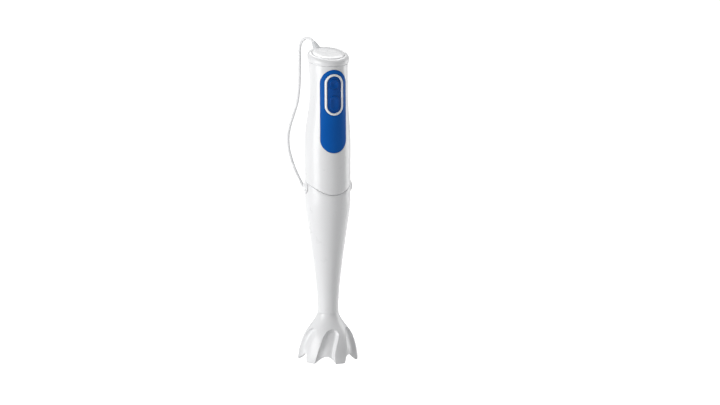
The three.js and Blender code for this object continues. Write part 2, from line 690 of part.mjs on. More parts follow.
function shaftOutline() {
  const path = new THREE.Path();
  path.moveTo(NECK_RADIUS, NECK_HEIGHT + CLEARANCE);
  path.lineTo(NECK_RADIUS, TAPER_LOW);
  path.bezierCurveTo(
    NECK_RADIUS + 0.3, TAPER_LOW + 32, BODY_RADIUS - 1.3, TAPER_HIGH - 16, BODY_RADIUS, TAPER_HIGH,
  );
  path.lineTo(BODY_RADIUS, SEAM_HEIGHT + 10);
  return path.getPoints(8).map((p) => [p.x, p.y]);
}

const shaftHousing = () => {
  const outside = shaftOutline();
  const inside = outside.map(([r, z]) => [r - SHAFT_WALL, z]).reverse();
  const bossRoom = crossBar(BOSS_RADIUS + SEAM_GAP, -40, 40, RELEASE_HEIGHT, 28);
  return cut(common(turned([...outside, ...inside], 40), belowSeam(-SEAM_GAP)), bossRoom);
};

const couplingInsert = () => {
  const flange = BODY_RADIUS - SHAFT_WALL - CLEARANCE;
  const body = turned([
    [BUSH_RADIUS + CLEARANCE, FLANGE_LOW],
    [flange, FLANGE_LOW],
    [flange, FLANGE_HIGH],
    [SPIGOT_RADIUS, FLANGE_HIGH],
    [SPIGOT_RADIUS, SPIGOT_TOP],
    [SPIGOT_RADIUS - SPIGOT_WALL, SPIGOT_TOP],
    [SPIGOT_RADIUS - SPIGOT_WALL, FLANGE_HIGH],
    [BUSH_RADIUS + CLEARANCE, FLANGE_HIGH],
  ]);
  const slotWidth = 2 * (RELEASE_RADIUS + RUNNING_GAP);
  const slots = [-1, 1].map((s) =>
    box([10, slotWidth, 20], [s * SPIGOT_RADIUS, 0, RELEASE_HEIGHT - RELEASE_RADIUS - RUNNING_GAP + 10]),
  );
  return cut(body, ...slots);
};

add("blade_guard", bladeGuard(), whitePlastic);
add("shaft_housing", shaftHousing(), whitePlastic);
add("coupling_insert", couplingInsert(), greyPlastic);

const bushInner = SPINDLE_RADIUS + 0.2;
const bushLow = GUARD_CEILING + 2;
add("shaft_seal", ring(BUSH_RADIUS, bushInner, GUARD_CEILING + CLEARANCE, bushLow - CLEARANCE, 28), rubber);
add("lower_bush", ring(BUSH_RADIUS, bushInner, bushLow, NECK_HEIGHT, 28), brass);
add(
  "bearing_tube",
  ring(TUBE_RADIUS, bushInner + 0.6, NECK_HEIGHT + CLEARANCE, FLANGE_LOW - CLEARANCE, 24),
  steel,
);
add("upper_bush", ring(BUSH_RADIUS, bushInner, FLANGE_LOW, FLANGE_HIGH, 28), brass);

// ---------------------------------------------------------------- spindle and blade

const socketLow = FLANGE_HIGH + 3;
add("drive_spindle", disc(SPINDLE_RADIUS, SPINDLE_LOW, SPINDLE_HIGH, 16), steel);

const socketCoupling = () =>
  cut(
    disc(SOCKET_RADIUS, socketLow, SOCKET_TOP, 28),
    disc(HEX_RADIUS + CLEARANCE, SPINDLE_HIGH + CLEARANCE, SOCKET_TOP + 1, 6),
    disc(SPINDLE_RADIUS + 0.2, socketLow - 1, SPINDLE_HIGH + 1, 16),
  );
add("spindle_coupling", socketCoupling(), greyPlastic);

// One wing, from the hub outwards: its leading edge is straight and its tail is swept back.
const bladeWing = (s) =>
  plate(
    [[0, -4.2], [8, -4.6], [BLADE_RADIUS, -1.2], [BLADE_RADIUS - 1, 1.6], [9, 4.4], [0, 4.2]].map(
      ([x, y]) => [s * x, s * y],
    ),
    BLADE_HEIGHT,
    BLADE_HEIGHT + BLADE_THICKNESS,
  );
const bladeShape = () => {
  const flat = join(bladeWing(1), bladeWing(-1), disc(6, BLADE_HEIGHT, BLADE_HEIGHT + BLADE_THICKNESS, 24));
  return cut(flat, disc(SPINDLE_RADIUS + 0.2, 0, 30, 16));
};
add("blade", bladeShape(), steel);

const bladeTop = BLADE_HEIGHT + BLADE_THICKNESS + CLEARANCE;
const hubTop = GUARD_CEILING - 2;
const bladeHub = () =>
  cut(
    turned([[0, bladeTop], [7, bladeTop], [6, bladeTop + 8], [4.5, hubTop], [0, hubTop]], 28),
    disc(SPINDLE_RADIUS + 0.2, 0, 60, 16),
  );
add("blade_hub", bladeHub(), greyPlastic);
add("blade_cap", ring(4.2, SPINDLE_RADIUS + 0.2, SPINDLE_LOW, BLADE_HEIGHT - CLEARANCE, 24), steel);

// ---------------------------------------------------------------- mains lead

// The middle of the free cord, from the boot's tip over and down behind the blender to its coil.
const CORD_ROUTE = [
  [-9.7, 20.8, 348.1], [-11.6, 24.9, 350.9], [-13.7, 29.4, 351.7], [-15.8, 33.9, 350.6], [-17.5, 37.6, 347.7],
  [-18.7, 40.1, 343.4], [-19.1, 41, 338.5], [-19.1, 41.1, 333], [-19.1, 41.2, 325], [-19.2, 41.6, 310],
  [-19.5, 42.4, 297], [-21.5, 43.6, 280], [-25.3, 46.1, 266], [-28.4, 48.6, 254], [-30.1, 50.8, 240],
  [-28.2, 52.3, 225], [-23, 52.7, 208], [-15.9, 52, 192], [-8.8, 50.7, 177], [-2.4, 49.2, 160],
  [2.3, 47.6, 140], [5, 46.2, 115], [6.6, 44.4, 88], [8.2, 42.4, 62], [9.6, 40.4, 45],
  [10.4, 39.2, 34.5], [10.7, 38.8, 25.8], [11.9, 39.2, 20.1], [15.4, 40.1, 15.4], [19.4, 41.2, 13],
  [23.85, 42.4, 12.2],
];
// From the coil's outer turn over the surface and up into the plug.
const TAIL_ROUTE = [
  [43.1, 67.5, 1.7], [45.6, 73.5, 1.7], [49.8, 80, 1.7], [54.3, 86.5, 1.7], [58.2, 95, 1.7], [58.9, 102.9, 2.7],
  [55.9, 109.9, 5.6], [50.1, 114, 9.5], [43.1, 114.1, 13.4], [36.5, 110.2, 16.3], [32.5, 103.6, 17.35],
];

function cord(name, route, steps) {
  const points = route.map(([x, y, z]) => new THREE.Vector3(x, y, z));
  add(name, tube(new THREE.CatmullRomCurve3(points), CORD_DIAMETER / 2, 8, steps), cordPlastic);
}
cord("cord", CORD_ROUTE, 46);
cord("cord_tail", TAIL_ROUTE, 12);

const coilHigh = COIL_TURNS_HIGH * CORD_DIAMETER;
const coilHalf = (COIL_TURNS_WIDE * CORD_DIAMETER) / 2;
const coilRing = ring(COIL_TURN_RADIUS + coilHalf, COIL_TURN_RADIUS - coilHalf, 0, coilHigh, 32);
add("cord_coil", coilRing.translate(...COIL_CENTRE, 0), cordPlastic);

const plug = new THREE.Group();
const PLUG_SIZE = [35.3, 30, 13.7];
const PLUG_BOOT = 10;
const PIN_LENGTH = 19;
const PIN_RADIUS = 2;
const PLUG_OFFSET = 4; // from the coil's centre to the plug's face
plug.position.set(
  COIL_CENTRE[0] + PLUG_OFFSET * Math.sin(PLUG_BEARING),
  COIL_CENTRE[1] + PLUG_OFFSET * Math.cos(PLUG_BEARING),
  coilHigh + CLEARANCE + PLUG_SIZE[2] / 2,
);
plug.rotation.z = -PLUG_BEARING;
object.add(plug);

const plugBody = () => {
  const [width, length, thickness] = PLUG_SIZE;
  const half = width / 2;
  const outline = [
    [-half + 2, 0], [half - 2, 0], [half, 2], [half, 9], [9, length - 4], [7, length],
    [-7, length], [-9, length - 4], [-half, 9], [-half, 2],
  ];
  const relief = new THREE.CylinderGeometry(BOOT_TIP_RADIUS + 0.4, 5, PLUG_BOOT + 2, 16);
  relief.translate(0, length + PLUG_BOOT / 2 - 1, 0);
  return join(plate(outline, -thickness / 2, thickness / 2), relief);
};
add("plug_body", plugBody(), cordPlastic, plug);
onBothSides((side, s) => {
  const pin = new THREE.CylinderGeometry(PIN_RADIUS, PIN_RADIUS, PIN_LENGTH - CLEARANCE, 16);
  add(`plug_pin_${side}`, pin.translate((s * PLUG_PITCH) / 2, -(PIN_LENGTH + CLEARANCE) / 2, 0), brass, plug);
});

export default object;
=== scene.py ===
# %% [markdown]
# # An immersion blender
# This lesson dresses a finished CAD model. Every part of the real blender already has a place and a size
# there, and the lesson gives the parts that show a smoother surface and a believable finish.
# The first cell loads that model, whose box the finished blender has to match.

# %% Load the model
import json
import math
import bmesh
import bpy
import numpy as np
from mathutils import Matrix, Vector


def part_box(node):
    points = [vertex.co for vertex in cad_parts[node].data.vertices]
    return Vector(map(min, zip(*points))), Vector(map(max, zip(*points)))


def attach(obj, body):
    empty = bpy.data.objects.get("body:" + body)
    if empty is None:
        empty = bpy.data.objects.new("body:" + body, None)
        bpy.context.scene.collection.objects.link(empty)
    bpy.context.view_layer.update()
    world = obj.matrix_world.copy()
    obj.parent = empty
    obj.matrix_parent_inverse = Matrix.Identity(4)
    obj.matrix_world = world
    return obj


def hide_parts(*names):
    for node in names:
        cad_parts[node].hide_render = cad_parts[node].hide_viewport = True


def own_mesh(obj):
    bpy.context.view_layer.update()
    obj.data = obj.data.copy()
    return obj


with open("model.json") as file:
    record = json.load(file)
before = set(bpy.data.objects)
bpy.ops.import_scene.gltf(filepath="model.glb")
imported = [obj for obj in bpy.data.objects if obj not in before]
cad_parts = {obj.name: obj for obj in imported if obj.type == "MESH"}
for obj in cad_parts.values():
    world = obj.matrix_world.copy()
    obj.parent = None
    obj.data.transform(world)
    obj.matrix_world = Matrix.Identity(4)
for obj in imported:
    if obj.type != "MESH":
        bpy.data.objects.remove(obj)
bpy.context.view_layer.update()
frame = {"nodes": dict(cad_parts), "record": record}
MM = 0.001

# %% [markdown]
# ## The camera
# A long lens from two metres away keeps the blender's sides almost parallel, as in a catalogue picture. The
# camera stands a little to the left of the front and looks slightly down, and it is slid sideways so that
# the blender sits left of the middle.

# %% Place the camera
TURN = math.radians(-18)
DOWN = math.radians(8.5)
DISTANCE, SIDEWAYS, EYE = 2.060, 0.0353, 0.4816
ahead = np.array([-math.sin(TURN), math.cos(TURN), 0])
right = np.array([math.cos(TURN), math.sin(TURN), 0])
lens = bpy.data.cameras.new("camera")
lens.lens = 95.3
lens.sensor_width = 36
camera = bpy.data.objects.new("camera", lens)
bpy.context.scene.collection.objects.link(camera)
camera.location = -DISTANCE * ahead + SIDEWAYS * right + np.array([0, 0, EYE])
camera.rotation_euler = (math.pi / 2 - DOWN, 0, TURN)
bpy.context.scene.camera = camera
print("camera at", [round(v, 3) for v in camera.location])

# %% [markdown]
# ## Surfaces from grids
# A moulded shell is a smooth function of two numbers, so it is quickest to work out all of its points at
# once as an array of rows and columns, and to number the faces between them. Modelling by hand would give
# the same shell, but a formula keeps every wall at its true thickness.

# %% Turn grids of points into a mesh
def grid_faces(rows, columns, close_rows, close_columns, start):
    """Each face joins a point, its neighbour in the row, and the same two in the next row. A closed
    direction joins its last points to its first."""
    i = np.arange(rows if close_rows else rows - 1)[:, None]
    j = np.arange(columns if close_columns else columns - 1)[None, :]
    here, above, along = i * columns, (i + 1) % rows * columns, (j + 1) % columns
    corners = np.broadcast_arrays(here + j, here + along, above + along, above + j)
    return np.stack(corners, -1).reshape(-1, 4) + start


def piece(name, *grids):
    """One closed object from (points in metres, close_rows, close_columns) grids. Points that meet, at a
    pole or a seam, are merged, and then all faces are turned outwards."""
    points, faces, start = [], [], 0
    for grid, close_rows, close_columns in grids:
        rows, columns, _ = grid.shape
        points.append(grid.reshape(-1, 3))
        faces.append(grid_faces(rows, columns, close_rows, close_columns, start))
        start += rows * columns
    mesh = bpy.data.meshes.new(name)
    mesh.from_pydata(np.concatenate(points).tolist(), [], np.concatenate(faces).tolist())
    work = bmesh.new()
    work.from_mesh(mesh)
    bmesh.ops.remove_doubles(work, verts=work.verts, dist=2e-6)
    bmesh.ops.recalc_face_normals(work, faces=work.faces)
    work.to_mesh(mesh)
    work.free()
    made = bpy.data.objects.new(name, mesh)
    bpy.context.scene.collection.objects.link(made)
    return made


print("faces of a closed grid of 3 rows and 4 columns:", len(grid_faces(3, 4, True, True, 0)))

# %% [markdown]
# ## Cutting and finishing a piece
# A window or a bore is a real hole, so it is cut by a Boolean, which is applied at once. Each finished piece
# then hides the part of the CAD model that it replaces, and is attached to the body that it moves with.

# %% Cut, join and show
def shape_with(made, operation, *tools):
    """Cuts tools out of a piece, or joins them to it, and removes the tools."""
    for tool in tools:
        step = made.modifiers.new("step", "BOOLEAN")
        step.operation, step.solver, step.object = operation, "EXACT", tool
        seen = made.evaluated_get(bpy.context.evaluated_depsgraph_get())
        made.data = bpy.data.meshes.new_from_object(seen)
        made.modifiers.clear()
        bpy.data.objects.remove(tool)
    return made


def show(made, look, slot, body, *nodes, sharp=34):
    """Gives a piece its finish, smooth shading between its sharp edges, and the CAD body it rides on."""
    made.data.materials.clear()
    made.data.materials.append(look)
    made.data.shade_smooth()
    made.data.set_sharp_from_angle(angle=math.radians(sharp))
    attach(made, body)
    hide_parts(*nodes)
    print(f"{made.name}: {len(made.data.polygons)} faces")
    return made


print("parts that wait for a finish:", len(frame["nodes"]))

# %% [markdown]
# ## Sections carried along a line
# A cord, its strain relief, a coil and a pin are all a round section carried along a line. The section must
# not twist on the way, so each ring's frame is the last one turned by the bend between them.

# %% A smooth line through a few points
def smooth_line(knots, spacing=0.0012):
    """A Catmull-Rom curve: between two knots it is the cubic that leaves each one towards the next but
    one. It is then resampled at an even spacing."""
    p = np.vstack([2 * knots[0] - knots[1], knots, 2 * knots[-1] - knots[-2]])
    t = np.linspace(0, 1, 24, endpoint=False)[None, :, None]
    a, b, c, d = (p[k : len(p) - 3 + k][:, None, :] for k in range(4))
    line = 0.5 * (2 * b + (c - a) * t + (2 * a - 5 * b + 4 * c - d) * t**2 + (3 * b - a - 3 * c + d) * t**3)
    line = np.vstack([line.reshape(-1, 3), knots[-1]])
    reach = np.concatenate([[0], np.cumsum(np.linalg.norm(np.diff(line, axis=0), axis=1))])
    even = np.linspace(0, reach[-1], max(2, round(reach[-1] / spacing)))
    return np.stack([np.interp(even, reach, line[:, k]) for k in range(3)], 1), reach[-1]


bow = np.array([[0, 0, 0], [0.01, 0.01, 0], [0.02, 0, 0]])
print("a bow through 3 points is", round(1000 * smooth_line(bow)[1], 1), "mm long")

# %% Carry a round section along a line
def frames_along(line):
    """Tangents, and two normals that turn with the line but never round it."""
    tangent = np.gradient(line, axis=0)
    tangent /= np.linalg.norm(tangent, axis=1)[:, None]
    side = np.zeros_like(line)
    first = np.cross(tangent[0], [0.3, 0.2, 0.9])
    side[0] = first / np.linalg.norm(first)
    for k in range(1, len(line)):
        rest = side[k - 1] - tangent[k] * (side[k - 1] @ tangent[k])
        side[k] = rest / np.linalg.norm(rest)
    return tangent, side, np.cross(tangent, side)


def carried(line, radius, sides=16):
    """Rings of points round a line, radius(k) wide at its k-th point, with a point at each end."""
    _, side, other = frames_along(line)
    turn = np.linspace(0, 2 * math.pi, sides, endpoint=False)
    radius = np.broadcast_to(radius, len(line))[:, None, None]
    spokes = side[:, None] * np.cos(turn)[None, :, None] + other[:, None] * np.sin(turn)[None, :, None]
    rings = line[:, None] + radius * spokes
    ends = [np.broadcast_to(line[k], (1, sides, 3)) for k in (0, -1)]
    return np.concatenate([ends[0], rings, ends[1]])


print("rows of points round it:", len(carried(bow, MM)))

# %% [markdown]
# ## The mains lead
# The lead leaves the cap through its strain relief, bends over under its own weight, hangs down behind the
# blender and lies in a neat coil close behind the guard, where the blender hides it. Its plug lies on the
# coil. A simulation could lay it, but a lead that is stored in turns is more exact as a formula: just over
# five turns pass through six places, two side by side and three high, and never share one.

# %% Where the lead hangs, and where its end runs to the plug
DIAMETER = 3.4
HANGING = np.array([
    [-9, 19.2, 346.3], [-9.7, 20.8, 348.1], [-11.6, 24.9, 350.9], [-13.7, 29.4, 351.7], [-15.8, 33.9, 350.6],
    [-17.5, 37.6, 347.7], [-18.7, 40.1, 343.4], [-19.1, 41, 338.5], [-19.1, 41.1, 333], [-19.1, 41.2, 325],
    [-19.2, 41.6, 310], [-19.5, 42.4, 297], [-21.5, 43.6, 280], [-25.3, 46.1, 266], [-28.4, 48.6, 254],
    [-30.1, 50.8, 240], [-28.2, 52.3, 225], [-23, 52.7, 208], [-15.9, 52, 192], [-8.8, 50.7, 177],
    [-2.4, 49.2, 160], [2.3, 47.6, 140], [5, 46.2, 115], [6.6, 44.4, 88], [8.2, 42.4, 62], [9.6, 40.4, 45],
    [10.4, 39.2, 34.5], [10.7, 38.8, 25.8], [11.9, 39.2, 20.1], [15.4, 40.1, 15.4], [19.4, 41.2, 13],
])
TAIL = np.array([
    [40.8, 60.4, 1.7], [43.1, 67.5, 1.7], [45.6, 73.5, 1.7], [49.8, 80, 1.7], [54.3, 86.5, 1.7],
    [58.2, 95, 1.7], [58.9, 102.9, 2.7], [55.9, 109.9, 5.6], [50.1, 114, 9.5], [43.1, 114.1, 13.4],
    [36.5, 110.2, 16.3], [32.5, 103.6, 17.35], [31.2, 99.6, 17.35],
])
print("the hanging part drops", round(HANGING[:, 2].max() - HANGING[-1, 2]), "mm")

# %% The coil's stages
coil_low, coil_high = (np.array(corner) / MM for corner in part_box("cord_coil"))
coil_middle = (coil_low + coil_high)[:2] / 2
coil_outer = (coil_high - coil_low)[0] / 2
NEAR, FAR = coil_outer - 1.5 * DIAMETER, coil_outer - 0.5 * DIAMETER
TOP, MID, LOW = (DIAMETER * (k + 0.5) for k in (2, 1, 0))
CHANGE = 72  # degrees that the lead takes to change its place in the coil
# Each stage: the angle that the lead has turned to, its distance from the coil's middle, and its height.
STAGES = np.array([
    (-75, NEAR + 1.7, 12.2), (-20, NEAR, 12.2), (-20 + CHANGE, NEAR, TOP), (340 - CHANGE, NEAR, TOP),
    (340, FAR, TOP), (700 - 2 * CHANGE, FAR, TOP), (700 - CHANGE, FAR, MID), (1060 - 3 * CHANGE, FAR, MID),
    (1060 - 2 * CHANGE, NEAR, MID), (1420 - 4 * CHANGE, NEAR, MID), (1420 - 3 * CHANGE, NEAR, LOW),
    (1780 - 5 * CHANGE, NEAR, LOW), (1780 - 4 * CHANGE, FAR, LOW), (1780, FAR, LOW),
])
print("the coil is", round(2 * coil_outer, 1), "mm across, in", len(STAGES), "stages")

# %% Lay out the lead
def eased(angle, values):
    """The value at an angle between two stages: it leaves and reaches each stage level, as half a cosine."""
    at = np.clip(np.searchsorted(STAGES[:, 0], angle, "right") - 1, 0, len(STAGES) - 2)
    share = (angle - STAGES[at, 0]) / (STAGES[at + 1, 0] - STAGES[at, 0])
    return values[at] + (values[at + 1] - values[at]) * (1 - np.cos(math.pi * share)) / 2


angles = np.arange(-75, 1776, 12.0)
away = eased(angles, STAGES[:, 1])
turns = np.stack([coil_middle[0] + away * np.cos(np.radians(angles)),
                  coil_middle[1] + away * np.sin(np.radians(angles)), eased(angles, STAGES[:, 2])], 1)
lead, lead_length = smooth_line(np.vstack([HANGING, turns, TAIL]) * MM)
print(f"lead: {lead_length:.3f} m, {len(angles)} knots in the coil, {len(lead)} rings")
lead_piece = piece("mains_lead", (carried(lead, DIAMETER / 2 * MM), False, True))

# %% [markdown]
# ## Shader maths as Python
# A finish is a small sum: a base value, plus a pattern times how strongly it shows. Wiring such a sum by
# hand hides it, so a socket is wrapped in a class whose operators add the Math nodes.

# %% Wrap a socket, and one way to add any node
class Socket:
    """One output of a node. Sums and products of sockets and numbers add Math nodes."""

    def __init__(self, finish, socket):
        self.finish, self.socket = finish, socket

    def maths(self, operation, *values):
        return self.finish.node("ShaderNodeMath", {"operation": operation}, dict(enumerate(values)))

    def __add__(self, other):
        return self.maths("ADD", self, other)

    def __sub__(self, other):
        return self.maths("SUBTRACT", self, other)

    def __rsub__(self, other):
        return self.maths("SUBTRACT", other, self)

    def __mul__(self, other):
        return self.maths("MULTIPLY", self, other)

    def __truediv__(self, other):
        return self.maths("DIVIDE", self, other)

    __radd__, __rmul__ = __add__, __mul__


print("sums, differences, products and quotients of sockets now add their own nodes")

# %% A finish, node by node
class Finish:
    """A material that is made step by step. Steady values go straight to the shader's own sockets."""

    def __init__(self, name, **steady):
        self.material = bpy.data.materials.new(name)
        self.material.use_nodes = True
        self.tree = self.material.node_tree
        self.shader = self.tree.nodes["Principled BSDF"]
        for socket, value in steady.items():
            self.shader.inputs[socket.replace("_", " ")].default_value = value
        self.place = self.node("ShaderNodeTexCoord", output="Object")

    def node(self, kind, settings=(), inputs=(), output=0):
        made = self.tree.nodes.new(kind)
        for setting, value in dict(settings).items():
            setattr(made, setting, value)
        for socket, value in dict(inputs).items():
            self.feed(made.inputs[socket], value)
        return Socket(self, made.outputs[output])

    def feed(self, socket, value):
        if isinstance(value, Socket):
            self.tree.links.new(value.socket, socket)
        else:
            socket.default_value = value

    def noise(self, size, detail=2, stretch=(1, 1, 1)):
        """Soft noise whose features are about size metres across, stretched along an axis."""
        place = self.node("ShaderNodeMapping", {}, {"Vector": self.place, "Scale": stretch})
        inputs = {"Vector": place, "Scale": 1 / size, "Detail": detail}
        return self.node("ShaderNodeTexNoise", {}, inputs)

    def between(self, share, low, high):
        """The colour that lies a share of the way from low to high."""
        settings = {"data_type": "RGBA", "clamp_factor": True}
        return self.node("ShaderNodeMix", settings, {0: share, 6: (*low, 1), 7: (*high, 1)}, output=2)

    def finish(self, colour, roughness, height, depth):
        """Joins a pattern's colour, roughness and height to the shader; depth is the height's real size."""
        self.feed(self.shader.inputs["Base Color"], colour)
        self.feed(self.shader.inputs["Roughness"], roughness)
        bump = self.node("ShaderNodeBump", {}, {"Strength": 0.6, "Distance": depth, "Height": height})
        self.feed(self.shader.inputs["Normal"], bump)
        return self.material


print("a finish offers:", ", ".join(name for name in vars(Finish) if not name.startswith("__")))

# %% [markdown]
# ## Plastics and rubber
# Moulded plastic is never one flat colour: it has a faint cloudiness from its flow, a fine grain left by the
# mould, and a little wear that makes it duller where hands and water reach it. The grip has the same
# make-up with a softer, denser grain.

# %% Moulded plastics and rubber
def moulded(name, colour, roughness, grain, depth, clouding=0.05, **steady):
    """Clouds 30 mm across change the colour a little, and smears 9 mm across change the gloss; the grain
    is the mould's texture."""
    look = Finish(name, **steady)
    clouds, smears, texture = look.noise(0.03, 3), look.noise(0.009, 4), look.noise(grain, 2)
    shade = [c * (1 - clouding) for c in colour]
    tone = look.between(clouds * 0.8 + texture * 0.2, shade, colour)
    gloss = smears * 0.14 + texture * 0.06 + (roughness - 0.1)
    return look.finish(tone, gloss, texture + smears * 0.4, depth)


white_plastic = moulded("white_plastic", (0.86, 0.865, 0.875), 0.3, 0.0011, 0.00002, 0.03, Coat_Weight=0.15)
# painted light: the keypad ring is the same white plastic as the housing, and this lighter copy paints it as
# brightly lit
painted_lit_white = moulded("painted_lit_white", (0.97, 0.975, 0.98), 0.25, 0.0009, 0.00001, 0.02, Coat_Weight=0.3)
grey_plastic = moulded("grey_plastic", (0.70, 0.715, 0.73), 0.45, 0.0009, 0.00004)
blue_grip = moulded("blue_grip", (0.0, 0.115, 0.5), 0.4, 0.0005, 0.00006, 0.14, Specular_IOR_Level=0.1)
dark_blue = moulded("dark_blue_keypad", (0.0, 0.085, 0.4), 0.36, 0.0006, 0.00005, 0.14,
                    Specular_IOR_Level=0.14)
inner_plastic = moulded("inner_plastic", (0.05, 0.055, 0.06), 0.5, 0.0007, 0.00005, 0.3)
cord_pvc = moulded("cord_pvc", (0.86, 0.865, 0.875), 0.42, 0.0006, 0.00003, 0.04)
seal_rubber = moulded("seal_rubber", (0.03, 0.03, 0.032), 0.7, 0.0008, 0.00004, 0.3)
carbon = moulded("carbon", (0.025, 0.025, 0.026), 0.6, 0.0004, 0.00005, 0.4)
board = moulded("board", (0.05, 0.2, 0.09), 0.4, 0.0005, 0.00003, 0.3)
print("the grip's nodes:", len(blue_grip.node_tree.nodes))

# %% [markdown]
# ## Metals and stacked layers
# Metal is ground or drawn, so its noise is stretched one way. The motor's sheets and its turns of wire are
# too thin to model one by one, so they are a pattern of ridges and grooves up the part.

# %% Metals
def metal(name, colour, roughness, stretch, line, depth=0.00002):
    """Grinding marks are noise that is long one way; stretch is 1 across the marks and small along them."""
    look = Finish(name, Metallic=1.0)
    marks, clouds = look.noise(line, 3, stretch), look.noise(0.012, 3)
    tone = look.between(marks * 0.6 + clouds * 0.4, [c * 0.8 for c in colour], colour)
    return look.finish(tone, marks * 0.2 + clouds * 0.1 + (roughness - 0.15), marks, depth)


def layered(name, colour, groove, pitch, roughness, metallic):
    """Thin layers stacked along Z, such as sheets or turns of wire: the height's fraction of one pitch is
    a saw, and its distance from the middle darkens the groove between two layers."""
    look = Finish(name, Metallic=metallic)
    height = look.node("ShaderNodeSeparateXYZ", {}, {0: look.place}, output=2)
    saw = (height / pitch).maths("FRACT", height / pitch)
    ridge = 1 - (saw - 0.5).maths("ABSOLUTE", saw - 0.5) * 2
    grain = look.noise(0.0015, 3)
    tone = look.between(ridge * 0.8 + grain * 0.2, groove, colour)
    return look.finish(tone, 1 - ridge * (1 - roughness), ridge, pitch * 0.2)


steel = metal("steel", (0.62, 0.63, 0.65), 0.28, (0.15, 1, 1), 0.0006)
brass = metal("brass", (0.66, 0.5, 0.24), 0.3, (1, 1, 0.3), 0.0005)
laminations = layered("laminations", (0.3, 0.31, 0.33), (0.06, 0.06, 0.065), 0.0005, 0.45, 1.0)
copper = layered("copper", (0.62, 0.27, 0.11), (0.16, 0.05, 0.02), 0.0006, 0.35, 1.0)
looks = {
    "white_plastic": white_plastic, "grey_plastic": grey_plastic, "blue_grip": blue_grip,
    "dark_blue_keypad": dark_blue, "inner_plastic": inner_plastic, "cord_pvc": cord_pvc, "steel": steel,
    "laminations": laminations, "copper": copper, "brass": brass, "carbon": carbon,
    "seal_rubber": seal_rubber, "board": board,
}
print("finishes:", ", ".join(looks))

# %% [markdown]
# ## Parts that stay as they are
# The motor, its brackets and the spindle are hidden in the shells. They could be made again with more
# detail, but nobody would see it, so each keeps its CAD shape and only takes its finish.

# %% Give every CAD part its finish
KEPT = {
    "inner_plastic": ["lower_bracket", "upper_bracket", "brush_plate", "cord_clamp", "speed_switch",
                      "turbo_switch", "drive_coupling"],
    "steel": ["lower_bearing", "upper_bearing", "tie_screw_left", "tie_screw_right", "armature_shaft",
              "drive_spindle", "bearing_tube", "blade_cap"],
    "laminations": ["stator_core", "armature_core"],
    "copper": ["field_coil_left", "field_coil_right", "armature_winding_lower", "armature_winding_upper",
               "commutator"],
    "brass": ["brush_holder_left", "brush_holder_right", "lower_bush", "upper_bush"],
    "carbon": ["brush_left", "brush_right"],
    "grey_plastic": ["cooling_fan", "coupling_insert", "spindle_coupling", "blade_hub"],
    "seal_rubber": ["shaft_seal"],
    "board": ["circuit_board"],
}
for slot, names in KEPT.items():
    for name in names:
        part = frame["nodes"][name]
        part.data.materials.clear()
        part.data.materials.append(looks[slot])
print(sum(map(len, KEPT.values())), "parts keep their shape")

# %% [markdown]
# ## The springs under the buttons
# A spring is a wire on a helix: its angle and its place along the axis grow together. A Screw modifier
# would turn one too, but a line worked out here can fill the CAD spring's box exactly. The end that stays
# when its button goes in, and the axis along which its turns would close up, are worked out but not used.

# %% Springs
WIRE = 0.3


def spring_wire(node, axis, turns):
    """A helix that fills the node's box: along its axis it climbs evenly, and it circles the middle line."""
    low, high = (np.array(corner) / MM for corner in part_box(node))
    t = np.linspace(0, 1, 32 * turns)
    across = [k for k in range(3) if k != axis]
    radius = (high - low)[across].min() / 2 - WIRE
    line = np.tile((low + high) / 2, (len(t), 1))
    line[:, axis] = low[axis] + WIRE + (high[axis] - low[axis] - 2 * WIRE) * t
    angle = 2 * math.pi * turns * t
    line[:, across] += radius * np.stack([np.cos(angle), np.sin(angle)], 1)
    return line * MM


for joint in frame["record"]["behaviour"]["joints"]:
    for spring in joint.get("deforming_nodes", []):
        node, letter = spring["node"], spring["mode"][-1]
        axis = "xyz".index(letter)
        line = spring_wire(node, axis, 3 if "release" in node else 2)
        made = piece(f"{node}_wire", (carried(line, WIRE * MM, 10), False, True))
        show(made, steel, "steel", "handle", node)
        fixed_end = line.mean(0)
        fixed_end[axis] = spring[f"fixed_end_{letter}_m"]
        direction = tuple(float(k == axis) for k in range(3))
        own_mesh(made)

# %% [markdown]
# ## The handle's form
# The handle is a turned shape that has been leaned. Its radius follows two smooth curves, wide round the
# motor and narrow at the waist, its middle line leans to the front there, and towards the top its level
# lines tip down to the front. Everything on the handle is placed by this one function, so that the panel,
# its buttons and the cap follow the same surface.

# %% The handle's surface
def bezier(a, b, c, d, count=40):
    """A cubic Bezier curve: its four points weighted by the Bernstein polynomials."""
    t = np.linspace(0, 1, count)[:, None]
    weights = [(1 - t) ** 3, 3 * t * (1 - t) ** 2, 3 * t**2 * (1 - t), t**3]
    return sum(w * np.array(p, float) for w, p in zip(weights, (a, b, c, d)))


def smoothstep(value, low, high):
    """0 below low, 1 above high, and 3t^2 - 2t^3 of the way t between them."""
    t = np.clip((value - low) / (high - low), 0, 1)
    return t * t * (3 - 2 * t)


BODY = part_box("shaft_housing")[1][1] / MM
BODY_TOP, WAIST_AT, TILT_FROM, HANDLE_TOP, CAP_TOP = 240, 300, 312, 328.4, 337.5
WAIST, TOP_RADIUS, TIP = 20.8, 21.6, math.tan(math.radians(16.5))
handle_curve = np.vstack([
    [[BODY, 150]],
    bezier((BODY, BODY_TOP), (BODY, BODY_TOP + 18), (WAIST, WAIST_AT - 24), (WAIST, WAIST_AT)),
    bezier((WAIST, WAIST_AT), (WAIST, WAIST_AT + 12), (TOP_RADIUS - 0.5, HANDLE_TOP - 6),
           (TOP_RADIUS, HANDLE_TOP))[1:],
])


